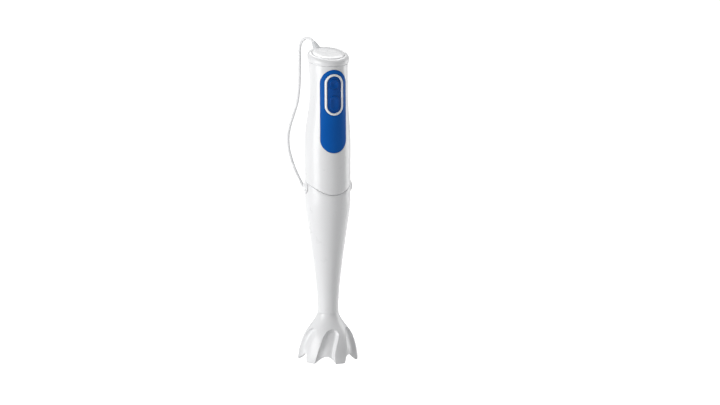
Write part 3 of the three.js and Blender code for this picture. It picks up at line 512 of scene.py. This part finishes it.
def leaned(x, y, z):
    """Tips level lines down to the front by TIP times y, fully so at the cap's top, and moves the middle
    line forward round the waist. The result is in metres."""
    share = 0.6 * smoothstep(z, TILT_FROM, HANDLE_TOP) + 0.4 * smoothstep(z, HANDLE_TOP + 2, CAP_TOP - 1)
    lean = 5 * smoothstep(z, BODY_TOP, WAIST_AT - 4) - 2 * smoothstep(z, WAIST_AT + 4, HANDLE_TOP + 2)
    return np.stack(np.broadcast_arrays(x, y - lean, z + TIP * share * y), -1) * MM


def round_handle(angle, z, proud):
    """The point at an angle from +X and a height, proud millimetres outside the handle's surface."""
    radius = np.interp(z, handle_curve[:, 1], handle_curve[:, 0]) + proud
    return leaned(radius * np.cos(angle), radius * np.sin(angle), z)


def front_of_handle(x, z, proud):
    """The point on the front surface that is seen at x and z. The tipping moves a point up or down, so the
    height before it is found by taking that move off again, four times over."""
    before = z + 0.0 * x
    for _ in range(4):
        radius = np.interp(before, handle_curve[:, 1], handle_curve[:, 0]) + proud
        y = -np.sqrt(radius**2 - x**2)
        before = before + z - leaned(x, y, before)[..., 2] / MM
    return leaned(x, y, before)


turn = np.linspace(0, 2 * math.pi, 200, endpoint=False)
print("waist is", 2 * WAIST, "mm across, the body", round(2 * BODY, 1), "mm")

# %% [markdown]
# ## Outlines with round ends
# The panel, the white ring, the keypad and both buttons are all stadiums: two half circles joined by
# straight sides. A slab between two such outlines, bent round the handle, gives each of them, with a small
# radius along its edges to catch the light as moulded edges do.

# %% A bent slab between two outlines
def stadium(width, height, middle, steps=26):
    """Points (x, z) round the outline: right side upwards, upper half circle, left side, lower one."""
    radius, straight = width / 2, (height - width) / 2
    side = np.linspace(-straight, straight, steps)[1:-1]
    upper, lower = np.linspace(0, math.pi, steps), np.linspace(math.pi, 2 * math.pi, steps)
    x = np.concatenate([np.full(steps - 2, radius), radius * np.cos(upper),
                        np.full(steps - 2, -radius), radius * np.cos(lower)])
    z = np.concatenate([side, straight + radius * np.sin(upper), -side, -straight + radius * np.sin(lower)])
    return np.stack([x, z + middle], 1)


def slab(name, inner, outer, top, back, edge, solid=False, form=lambda t: 0 * t, steps=14):
    """A slab between two outlines that stands top millimetres proud and reaches to back. Its face goes
    from inner to outer, form(t) is added to its height, and quarter circles of radius edge end it. A solid
    slab's inner outline is its middle line."""
    away = outer - inner
    away = away / np.maximum(np.linalg.norm(away, axis=1), 1e-9)[:, None]
    bend = np.linspace(0, math.pi / 2, 5)
    face_from = inner if solid else inner + away * edge
    rows = [] if solid else [(inner, back)] + [
        (inner + away * edge * (1 - math.cos(b)), top - edge + edge * math.sin(b) + form(0.0))
        for b in bend[:-1]]
    for t in np.linspace(0, 1, steps):
        rows.append((face_from + (outer - away * edge - face_from) * t, top + form(t)))
    for b in bend[::-1][1:]:
        rows.append((outer - away * edge * (1 - math.cos(b)), top - edge + edge * math.sin(b) + form(1.0)))
    rows.append((outer, back))
    if solid:
        rows += [(inner + (outer - inner) * t, back) for t in (0.66, 0.33, 0)]
    grid = np.stack([front_of_handle(line[:, 0], line[:, 1], proud) for line, proud in rows])
    return piece(name, (grid, not solid, True))


def prism(name, outline, near, far, axis):
    """An outline at two distances along an axis, in millimetres, closed by a fan of faces at both ends."""
    line = np.array(outline, float)
    hub = line * 0 + line.mean(0)
    grid = np.empty((4, len(line), 3))
    grid[..., [k for k in range(3) if k != axis]] = np.stack([hub, line, line, hub])
    grid[..., axis] = np.array([near, near, far, far])[:, None]
    return piece(name, (grid * MM, False, True))


def opening(width, height, middle):
    """A tool that cuts a stadium out of the front, 0.3 mm larger all round than what fits into it."""
    return prism("opening", stadium(width + 0.6, height + 0.6, middle), -60, -6, 1)


print("points round a stadium:", len(stadium(20, 40, 0)))

# %% [markdown]
# ## The motor housing
# The housing is a shell 2.2 mm thick. Its lower edge waves: it is higher at the sides, under the release
# buttons, and dips at the front and back. A groove under the cap leaves the dark line that a real joint
# shows. The window for the panel, the bores for the release buttons and the raised bosses round them are
# real holes and real steps, so they are cut and joined.

# %% Sizes of the housing, and its lower edge
WALL = 2.2
SEAM, WAVE, GAP, GROOVE = 191.1, 6, 0.4, 0.9
RELEASE_AT = (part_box("release_button_right")[0][2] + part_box("release_button_right")[1][2]) / 2 / MM
PANEL = (28.6, 89.5, 275.7)  # a stadium: width, height, and the height of its middle


def seam(angle):
    """Height of the joint between handle and shaft: a mean height plus a wave of two crests."""
    return SEAM + WAVE * np.cos(2 * angle)


print("the seam runs between", round(seam(turn).min(), 1), "and", round(seam(turn).max(), 1), "mm")

# %% The housing's shell
def housing_grid():
    """Rows climb the outside from the rounded lower edge to the groove under the cap, step in there, and
    come down the inside. A row is a share of the way up, a lift and how proud it stands."""
    outside_top = HANDLE_TOP - GROOVE
    rows = [(outside_top, 0, 0.0, -0.5), (outside_top, 0, 0.15, -0.2), (outside_top, 0, 0.5, 0)]
    rows += [(outside_top, t, 0, 0) for t in np.linspace(0, 1, 90)[1:]]
    rows += [(outside_top, 1, 0.05, -0.3), (outside_top, 1, 0.05, -0.9), (HANDLE_TOP, 1, 0, -0.9)]
    rows += [(HANDLE_TOP, t, 0, -WALL) for t in np.linspace(1, 0, 40)]
    low = seam(turn)
    return np.stack([round_handle(turn, low + lift + (top - low) * t, proud) for top, t, lift, proud in rows])


housing = piece("motor_shell", (housing_grid(), True, True))
print("the shell has", len(housing.data.polygons), "faces before its openings are cut")

# %% Its bosses, bores and window
def turned_about_x(name, profile, sign, height, count=56):
    """A round piece across the handle: (radius, x) pairs turned about a line along X at a height."""
    radius, x = np.array(profile, float).T
    around = np.linspace(0, 2 * math.pi, count, endpoint=False)
    grid = np.stack([np.broadcast_to(sign * x[:, None], (len(x), count)),
                     radius[:, None] * np.cos(around), height + radius[:, None] * np.sin(around)], -1)
    return piece(name, (grid * MM, False, True))


BOSS, BOSS_FACE, BORE = 7, BODY + 0.6, 4.3
for s in (-1, 1):
    boss = [(0, BODY - 1.8), (BOSS, BODY - 1.8), (BOSS, BOSS_FACE - 0.6), (BOSS - 0.18, BOSS_FACE - 0.2),
            (BOSS - 0.6, BOSS_FACE), (0, BOSS_FACE)]
    bore = [(0, 12), (BORE, 12), (BORE, BOSS_FACE - 0.35), (BORE + 0.4, BOSS_FACE + 0.05), (BORE + 0.4, 40),
            (0, 40)]
    shape_with(housing, "UNION", turned_about_x("boss", boss, s, RELEASE_AT))
    shape_with(housing, "DIFFERENCE", turned_about_x("bore", bore, s, RELEASE_AT))
shape_with(housing, "DIFFERENCE", opening(*PANEL))
show(housing, white_plastic, "white_plastic", "handle", "motor_housing")

# %% [markdown]
# ## Panel, ring, keypad and buttons
# The grip panel stands 0.4 mm proud and runs round the white ring, which is proud by 1 mm with a rounded
# crest. The keypad lies sunk inside the ring. The upper button is round and dished, for a thumb; the lower
# one is longer, with a shallower hollow. All of them are slabs on the handle's surface.

# %% Panel and controls
RING_AT, RING_WIDTH, STRAIGHT, BAND, BEHIND = 293.8, 20.4, 24, 2.3, -2.6


def round_ring(more):
    """The ring's outline, made wider and taller by some millimetres."""
    return stadium(RING_WIDTH + more, RING_WIDTH + STRAIGHT + more, RING_AT)


grip = slab("grip", round_ring(0.6), stadium(*PANEL), 0.4, BEHIND, 0.45)
show(grip, blue_grip, "blue_grip", "handle", "grip_panel")
ring = slab("keypad_ring", round_ring(-2 * BAND), round_ring(0), 1.0, BEHIND, 0.7, steps=8)
# the ring's lighter white is painted light on the housing's own white plastic
show(ring, painted_lit_white, "white_plastic", "handle", "button_ring")
keypad = slab("keypad", stadium(0, STRAIGHT, RING_AT), round_ring(-2 * BAND - 0.6), 0.0, BEHIND, 0.4,
              solid=True, steps=10)
BUTTONS = {"speed": (10.6, 10.61, 305.2, 1.1), "turbo": (11, 16.51, 284.6, 0.8)}
for width, height, middle, _ in BUTTONS.values():
    shape_with(keypad, "DIFFERENCE", opening(width, height, middle))
show(keypad, dark_blue, "dark_blue_keypad", "handle", "keypad_bezel")
for name, (width, height, middle, dish) in BUTTONS.items():
    button = slab(f"{name}_key", stadium(0, height - width, middle), stadium(width, height, middle),
                  0.9, -4.2, 0.5, solid=True, form=lambda t, dish=dish: -dish * (1 - t**2) ** 2)
    show(button, dark_blue, "dark_blue_keypad", f"{name}_button", f"{name}_button")

# %% [markdown]
# ## The release buttons
# A round button on each side frees the shaft. Its crown is gently domed, and behind it a stem carries the
# arm of the latch. A cylinder with a bevel would leave the crown flat, so the button is a turned profile,
# joined to one bar for the arm.

# %% Release buttons
KNOB, STEM, DOME, ARM, ARM_HALF = 4, 2, 1.2, (14.3, 16.3), 2.5
for side, s in (("left", -1), ("right", 1)):
    low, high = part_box(f"release_button_{side}")
    face = max(abs(low[0]), abs(high[0])) / MM
    crown = [(KNOB * math.sin(a), face - DOME + DOME * math.cos(a)) for a in np.linspace(math.pi / 2, 0, 9)]
    knob = [(0, 15), (STEM, 15), (STEM, BODY - 4), (KNOB, BODY - 4)] + crown
    release = turned_about_x(f"release_key_{side}", knob, s, RELEASE_AT)
    arm = [(s * ARM[0], -ARM_HALF), (s * ARM[0], ARM_HALF), (s * ARM[1], ARM_HALF), (s * ARM[1], -ARM_HALF)]
    shape_with(release, "UNION", prism("arm", arm, low[2] / MM, RELEASE_AT + ARM_HALF, 2))
    show(release, white_plastic, "white_plastic", f"release_button_{side}", f"release_button_{side}")

# %% [markdown]
# ## The cap
# The cap overhangs the handle a little and has a full round shoulder. A flat disc is let into its sloping
# top, and a fine joint shows all round it. Both are turned profiles, which put the shoulder and the joint
# exactly where they belong, and the handle's own lean then tips them, as a rotation alone would not.

# %% Cap and its disc
def turned_and_leaned(name, profile):
    """(radius, height) pairs turned about the middle line, then leaned with the handle."""
    radius, z = np.array(profile, float).T[:, :, None]
    return piece(name, (leaned(radius * np.cos(turn), radius * np.sin(turn), z), profile[0][0] > 0, True))


CAP, DISC, LIP, LEDGE = 22.7, 17.4, 328.7, 334.8
LEVEL = CAP_TOP - 0.5
shoulder = bezier((CAP, 332), (CAP, 335.5), (21.2, LEVEL), (DISC + 1, LEVEL), 18)
cap = turned_and_leaned("cap", [
    (20.3, LIP + 0.9), (20.6, LIP), (CAP - 0.6, LIP), (CAP - 0.2, LIP + 0.15), (CAP, LIP + 0.6),
    *shoulder.tolist(), (DISC + 0.55, LEVEL - 0.12), (DISC + 0.3, LEVEL - 0.5), (DISC + 0.3, LEDGE),
    (DISC - 2, LEDGE), (DISC - 2, 333.2), (20.3, 331.8)])
lid = turned_and_leaned("cap_disc", [
    (0, LEDGE + 0.3), (DISC, LEDGE + 0.3), (DISC, CAP_TOP - 0.55), (DISC - 0.12, CAP_TOP - 0.2),
    (DISC - 0.5, CAP_TOP), (11, CAP_TOP), (5, CAP_TOP), (0, CAP_TOP)])

# %% [markdown]
# ## The strain relief
# Where the lead leaves the cap it runs through a tapered sleeve, so that it can't be bent sharply at the
# edge. The sleeve grows out of the cap as a fin, wide at its foot, and leans back and to the left. A cone
# would be straight; a round section that shrinks along a curve bends as the sleeve does.

# %% Strain relief
EXIT = math.radians(25)


def towards_exit(out, z):
    """A point some way out from the axis, straight towards the lead's exit."""
    return np.array([-out * math.sin(EXIT), out * math.cos(EXIT), z])


foot, bend_at, tip = towards_exit(13.5, 335.2), towards_exit(17.75, 342.85), towards_exit(22.7, 347.8)
t = np.linspace(0, 1, 30)[:, None]
sleeve_line = ((1 - t) ** 2 * foot + 2 * t * (1 - t) * bend_at + t**2 * tip) * MM
sleeve_radius = (2.25 + 3.2 * (1 - t[:, 0]) ** 1.1) * MM
sleeve_radius[-1] *= 0.86
sleeve = piece("lead_sleeve", (carried(sleeve_line, sleeve_radius, 36), False, True))
room = carried(sleeve_line, sleeve_radius + 0.3 * MM, 36)
for made, node in ((cap, "cap_collar"), (lid, "top_disc")):
    shape_with(made, "DIFFERENCE", piece("room", (room, False, True)))
    show(made, white_plastic, "white_plastic", "handle", node)
show(sleeve, grey_plastic, "grey_plastic", "handle", "strain_relief")

# %% [markdown]
# ## The blending shaft
# The shaft is a long cone with softly curved sides, as wide as the motor at its top. Its upper edge follows
# the handle's wave with a fine gap, and gives way to the bosses of the release buttons. A turned profile
# alone would end level, so its upper rows are lifted by the same wave that shapes the housing.

# %% Shaft
NECK, NECK_AT, FLARE_LOW, FLARE_HIGH = 12, 52, 60, 174


def waved_shell(name, profile):
    """(radius, height) pairs turned about Z. Above the flare, a row follows the handle's wave by its share
    of the way to the upper edge."""
    radius, z = np.array(profile, float).T[:, :, None]
    share = np.clip((z - FLARE_HIGH) / (z.max() - FLARE_HIGH), 0, 1)
    height = z + share * (seam(turn) - GAP - z.max())
    grid = np.stack([radius * np.cos(turn), radius * np.sin(turn), height], -1)
    return piece(name, (grid * MM, True, True))


side_curve = bezier((NECK, FLARE_LOW), (NECK + 0.3, FLARE_LOW + 32), (BODY - 1.3, FLARE_HIGH - 16),
                    (BODY, FLARE_HIGH), 60)
outside = [(NECK - 0.1, NECK_AT + 0.18), (NECK, NECK_AT + 0.26), *side_curve.tolist(), (BODY, 178),
           (BODY, 182), (BODY, 186), (BODY, SEAM - 0.9), (BODY - 0.15, SEAM - 0.55), (BODY - 0.5, SEAM - GAP)]
inside = [(BODY - WALL, SEAM - GAP), (BODY - WALL, 178)]
inside += [(r - WALL, z) for r, z in side_curve[::-3].tolist()] + [(NECK - WALL, NECK_AT + 0.18)]
shaft = waved_shell("shaft_shell", outside + inside)
for s in (-1, 1):
    clear = [(0, 20), (BOSS + GAP, 20), (BOSS + GAP, 40), (0, 40)]
    shape_with(shaft, "DIFFERENCE", turned_about_x("clear", clear, s, RELEASE_AT))
show(shaft, white_plastic, "white_plastic", "blending_shaft", "shaft_housing")

# %% [markdown]
# ## The blade guard
# The guard is a bell with six niches. Food is drawn in between its petals, and the niches lean so that it
# swirls. Each niche is sharp along its left edge, deepest towards its right, pinched on its right side at
# half height, and its lower edge is arched. Cutting six niches with Booleans leaves hard rims; here they
# are pressed into the grid, whose columns are slanted with them, so that their edges stay crisp.

# %% The guard's sizes and its bell curve
RIM, GUARD_WALL, PETALS = 33.4, 2.75, 6
NICHE_TOP, NICHE_DEEP, RISE = 36.4, 5.2, 7.3  # how high and deep a niche is, and its arch at the rim
HALF, START, SWIRL, PINCH = 20.8, -22.8, 18, 7  # degrees: half a niche, its place, its lean and its pinch
NICHE_SHARE = 0.62  # of the columns
bell = np.vstack([bezier((RIM, 0), (RIM, 14), (28, 27), (22.8, 34), 60),
                  bezier((22.8, 34), (18.3, 40), (NECK + 1, 46.5), (NECK, NECK_AT), 30)[1:]])
print("the guard is", 2 * RIM, "mm across its rim")

# %% The guard's wall
def guard_profile():
    """(radius, height) pairs down the outside, round the rim and up the inside to the ceiling. The rows are
    closer together where the niches begin."""
    profile = [(NECK - 0.1, NECK_AT + 0.12), (NECK, NECK_AT)]
    roof = np.linspace(37, 33, 14)
    fine = np.stack([np.interp(roof, bell[:, 1], bell[:, 0]), roof], 1)
    upper, lower = bell[bell[:, 1] > 37.2][::-1], bell[(bell[:, 1] < 32.8) & (bell[:, 1] > 1.2)][::-1]
    profile += upper[1:].tolist() + fine.tolist() + lower.tolist()
    lip = np.linspace(0, math.pi / 2, 6)
    profile += [(RIM - 1.1 + 1.1 * math.cos(a), 1.1 - 1.1 * math.sin(a)) for a in lip]
    profile += [(RIM - GUARD_WALL + 0.9 - 0.9 * math.sin(a), 0.9 - 0.9 * math.cos(a)) for a in lip]
    profile += [(r - GUARD_WALL, z) for r, z in np.vstack([lower[::-2], fine[::-2], upper[::-1]]).tolist()
                if 1.5 < z < 40]
    return profile + [(13, 42), (7.5, 42), (7.5, NECK_AT)]


print("rows of the guard:", len(guard_profile()))

# %% Its niches
def guard_grid(per_petal=60):
    """Columns keep their place across a niche: across is -1 and 1 at its edges, and beyond them the columns
    spread over the petal. The wall is moved in by the niche's depth, which fades towards the niche's top,
    and the rim is lifted between two petals."""
    radius, z = np.array(guard_profile()).T[:, :, None]
    rise = np.clip(z / NICHE_TOP, 0, 1)
    middle = START + SWIRL * rise
    half = HALF * np.sqrt(1 - 0.98 * rise**11)
    u = (np.arange(per_petal) + 0.5) / per_petal * 2 - 1
    in_niche = np.abs(u) < NICHE_SHARE
    across = np.where(in_niche, np.sin(u / NICHE_SHARE * math.pi / 2), 0)
    sag = np.clip(rise / 0.85, 0, 1)
    half = half - np.where(u > 0, PINCH * 4 * sag * (1 - sag), 0)
    beyond = np.sign(u) * (half + (180 / PETALS - half) * (np.abs(u) - NICHE_SHARE) / (1 - NICHE_SHARE))
    away = np.where(in_niche, across * half, beyond)
    fade = np.sqrt(np.clip(1 - rise**9, 0, 1))
    skew = across - 0.25 * (1 - across**2)
    hollow = NICHE_DEEP * fade * (1 - np.abs(skew) ** np.where(skew < 0, 8, 4)) * in_niche
    crest = np.clip(across - 0.12 * (1 - across**2), -1, 1)
    lift = RISE * (1 - smoothstep(z, 0, 3 * RISE)) * (1 - np.abs(crest) ** 1.8) ** 0.8 * in_niche
    out = radius - np.where(radius > 14, hollow, 0)
    turned = [np.radians(middle + away + 360 / PETALS * k) for k in range(PETALS)]
    sectors = [np.stack([out * np.sin(angle), -out * np.cos(angle), z + lift], -1) for angle in turned]
    return np.concatenate(sectors, 1) * MM


guard = piece("guard", (guard_grid(), True, True))
show(guard, white_plastic, "white_plastic", "blending_shaft", "blade_guard", sharp=40)

# %% [markdown]
# ## The blade
# Two swept wings, ground thin along their edges, sit on the spindle under the guard's ceiling. A bevel
# would round the edges evenly, but a ground edge is wider on one face, so the blade is built in rows round
# the spindle's hole. The ray from the middle to the outline gives the blade's reach at each angle.

# %% The blade's outline
blade_low, blade_high = (np.array(corner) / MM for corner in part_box("blade"))
BLADE = blade_high[0]
HUB = 6.0
wing = np.array([(0, -4.2), (8, -4.6), (BLADE, -1.2), (BLADE - 1, 1.6), (9, 4.4), (0, 4.2)])


def reach(angles, corners):
    """How far a ray from the middle runs to a closed outline: the largest hit over its edges, and no less
    than the round hub."""
    ray = np.stack([np.cos(angles), np.sin(angles)], 1)
    best = np.full(len(angles), HUB)
    for a, b in zip(corners, np.roll(corners, -1, axis=0)):
        edge = b - a
        cross = ray[:, 0] * edge[1] - ray[:, 1] * edge[0]
        cross = np.where(np.abs(cross) < 1e-9, 1e-9, cross)
        far = (a[0] * edge[1] - a[1] * edge[0]) / cross
        share = (a[0] * ray[:, 1] - a[1] * ray[:, 0]) / cross
        best = np.where((far > best) & (share >= 0) & (share <= 1), far, best)
    return best


around = np.linspace(0, 2 * math.pi, 240, endpoint=False)
out = np.maximum(reach(around, wing), reach(around, -wing))
print("the blade is", round(2 * out.max(), 1), "mm from tip to tip")

# %% Its thickness and its ground edges
hole, under, over = 0 * out + 2.7, blade_low[2], blade_high[2]
ground_from = np.where(out > HUB + 1, np.minimum(1.6, (out - HUB) * 0.4), 0.15)
rows = [(hole, under), (out - ground_from * 0.3, under), (out, under + 0.25), (out, under + 0.45),
        (out - ground_from, over), (hole, over)]
grid = np.stack([np.stack([r * np.cos(around), r * np.sin(around), 0 * r + z], 1) for r, z in rows])
blade = piece("cutting_blade", (grid * MM, True, True))
show(blade, steel, "steel", "spindle", "blade", sharp=12)

# %% [markdown]
# ## The plug
# A flat two-pin plug lies on the coil. Its body is a rounded block that narrows into a ribbed sleeve. Two
# joined shapes would show a seam, so one section changes along its length from a squarish to a round one.

# %% Where the plug lies
plug_low, plug_high = (np.array(corner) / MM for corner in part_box("plug_body"))
HEADING = math.radians(18)
plug_middle = np.array([coil_middle[0] + 4 * math.sin(HEADING), coil_middle[1] + 4 * math.cos(HEADING),
                        (plug_low[2] + plug_high[2]) / 2])


def on_plug(across, along, up):
    """Turns a point of the plug's own frame, along its length, into its place on the coil."""
    return np.stack([plug_middle[0] + across * math.cos(HEADING) + along * math.sin(HEADING),
                     plug_middle[1] - across * math.sin(HEADING) + along * math.cos(HEADING),
                     plug_middle[2] + up + 0 * across], -1) * MM


print("the plug's middle in mm:", plug_middle.round(1).tolist())

# %% The plug's body
# Each row: place along the length, half width, half thickness, and how square the section is.
sections = np.array([
    [0, 0.02, 0.01, 4], [0, 14.4, 5.6, 4], [0.4, 15.6, 6.3, 4.4], [1.4, 16.8, 6.7, 4.6], [3, 17.5, 6.85, 4.8],
    [7, 17.6, 6.85, 4.8], [10, 16.9, 6.85, 4.6], [14, 14.6, 6.85, 4.2], [19, 11.9, 6.8, 3.8],
    [24, 9.6, 6.6, 3.2], [28, 7.6, 6.2, 2.6], [29.6, 6.4, 5.7, 2.2], [30, 4.9, 4.9, 2],
])
BLOCK, PLUG = 30, 40  # where the block ends and where the ribbed sleeve ends
stations = np.linspace(0, 1, 90) ** 1.2 * BLOCK
filled = np.stack([np.interp(stations, sections[1:, 0], sections[1:, k]) for k in (1, 2, 3)], 1)
ribs_at = np.linspace(BLOCK, PLUG, 56)
taper = 4.9 - 2.1 * (ribs_at - BLOCK) / (PLUG - BLOCK)
ribs = taper - 0.45 * (np.sin((ribs_at - BLOCK) * math.pi / 1.25) < -0.2)
along = np.concatenate([[0], stations, ribs_at, [PLUG]])
half_width = np.concatenate([[0], filled[:, 0], ribs, [0]])
half_thick = np.concatenate([[0], filled[:, 1], ribs, [0]])
square = np.concatenate([[4], filled[:, 2], np.full(57, 2.0)])
a = np.linspace(0, 2 * math.pi, 72, endpoint=False)
power = 2 / square[:, None]
section_x, section_z = (np.sign(wave) * np.abs(wave) ** power * half[:, None]
                        for wave, half in ((np.cos(a), half_width), (np.sin(a), half_thick)))
plug = piece("lead_plug", (on_plug(section_x, along[:, None], section_z), False, True))
show(plug, cord_pvc, "cord_pvc", "handle", "plug_body")

# %% Its pins
PIN, PIN_APART, PIN_REACH = 1.98, 9.5, -17.5
tip_curve = [(PIN * math.cos(b), PIN_REACH - 1.75 * math.sin(b)) for b in np.linspace(0, math.pi / 2, 8)]
profile = np.array([(0, -0.35), (PIN, -0.35), (PIN, -9.8), (1.9, -10), (PIN, -10.2)] + tip_curve)
radius, pin_along = profile.T[:, :, None]
for side, s in (("left", -1), ("right", 1)):
    grid = on_plug(s * PIN_APART + radius * np.cos(a), pin_along + 0 * a, radius * np.sin(a))
    pin = piece(f"pin_{side}", (grid, False, True))
    show(pin, brass, "brass", "handle", f"plug_pin_{side}")

# %% [markdown]
# ## The lead as one cord
# The lead is soft, but here it is one piece that moves with the handle, in place of the CAD model's cord, its
# coil and its tail.

show(lead_piece, cord_pvc, "cord_pvc", "handle", "cord", "cord_coil", "cord_tail")

# %% [markdown]
# ## Studio
# White plastic on white shows its form only by the light that it lacks. A broad soft light on the left and a
# narrow one behind on the right leave one grey band down the side that faces neither, and a weak one from
# behind and above lights the cap's disc. The pale floor glows a little, so that the ground stays white, but
# the blender's own surfaces don't see that glow, which would wash out the shade under them.

# %% Floor
FLOOR_RINGS, FLOOR_AT = [0, 0.3, 2, 25.0], -0.0002
r = np.array(FLOOR_RINGS)[:, None]
a = np.linspace(0, 2 * math.pi, 64, endpoint=False)
rings_flat = np.stack([r * np.cos(a), r * np.sin(a), 0 * r * a + FLOOR_AT], -1)
floor_mesh = bpy.data.meshes.new("floor")
floor_faces = grid_faces(len(FLOOR_RINGS), len(a), False, True, 0)
floor_mesh.from_pydata(rings_flat.reshape(-1, 3).tolist(), [], floor_faces.tolist())
floor = bpy.data.objects.new("floor", floor_mesh)
bpy.context.scene.collection.objects.link(floor)
ground = Finish("ground", Base_Color=(0.9, 0.9, 0.9, 1), Roughness=0.9, Specular_IOR_Level=0,
                Emission_Color=(1, 1, 1, 1), Emission_Strength=0.95)
floor_mesh.materials.append(ground.material)
floor.visible_diffuse = False
print("the floor is", 2 * FLOOR_RINGS[-1], "m across")

# %% Lights
MIDDLE = 0.17


def soft_light(name, bearing, height, distance, size, power):
    """An area light aimed at the blender's middle; its bearing is counted from the camera to the right."""
    at = math.radians(bearing)
    place = distance * (-ahead * math.cos(at) + right * math.sin(at)) + np.array([0, 0, height])
    data = bpy.data.lights.new(name, "AREA")
    data.shape, data.size, data.size_y, data.energy = "RECTANGLE", size[0], size[1], power
    lamp = bpy.data.objects.new(name, data)
    bpy.context.scene.collection.objects.link(lamp)
    lamp.location = place
    toward = np.array([0, 0, MIDDLE]) - place
    lamp.rotation_euler = (math.pi / 2 + math.asin(toward[2] / np.linalg.norm(toward)), 0,
                           math.atan2(-toward[0], toward[1]))


soft_light("key", -56, 0.35, 1.3, (0.8, 1.3), 15.5)
soft_light("rim", 116, 0.3, 1.2, (0.6, 1.3), 7)
soft_light("top", 180, 1.3, 0.65, (0.7, 0.7), 6.5)
world = bpy.data.worlds.new("studio")
world.use_nodes = True
glow = world.node_tree.nodes["Background"].inputs
glow["Color"].default_value, glow["Strength"].default_value = (1, 1, 1, 1), 0.37
bpy.context.scene.world = world
bpy.context.scene.view_settings.view_transform = "Standard"
print("lights:", len(bpy.data.lights))

# %% [markdown]
# ## The size
# The finished blender has to fill the same box as the CAD model.
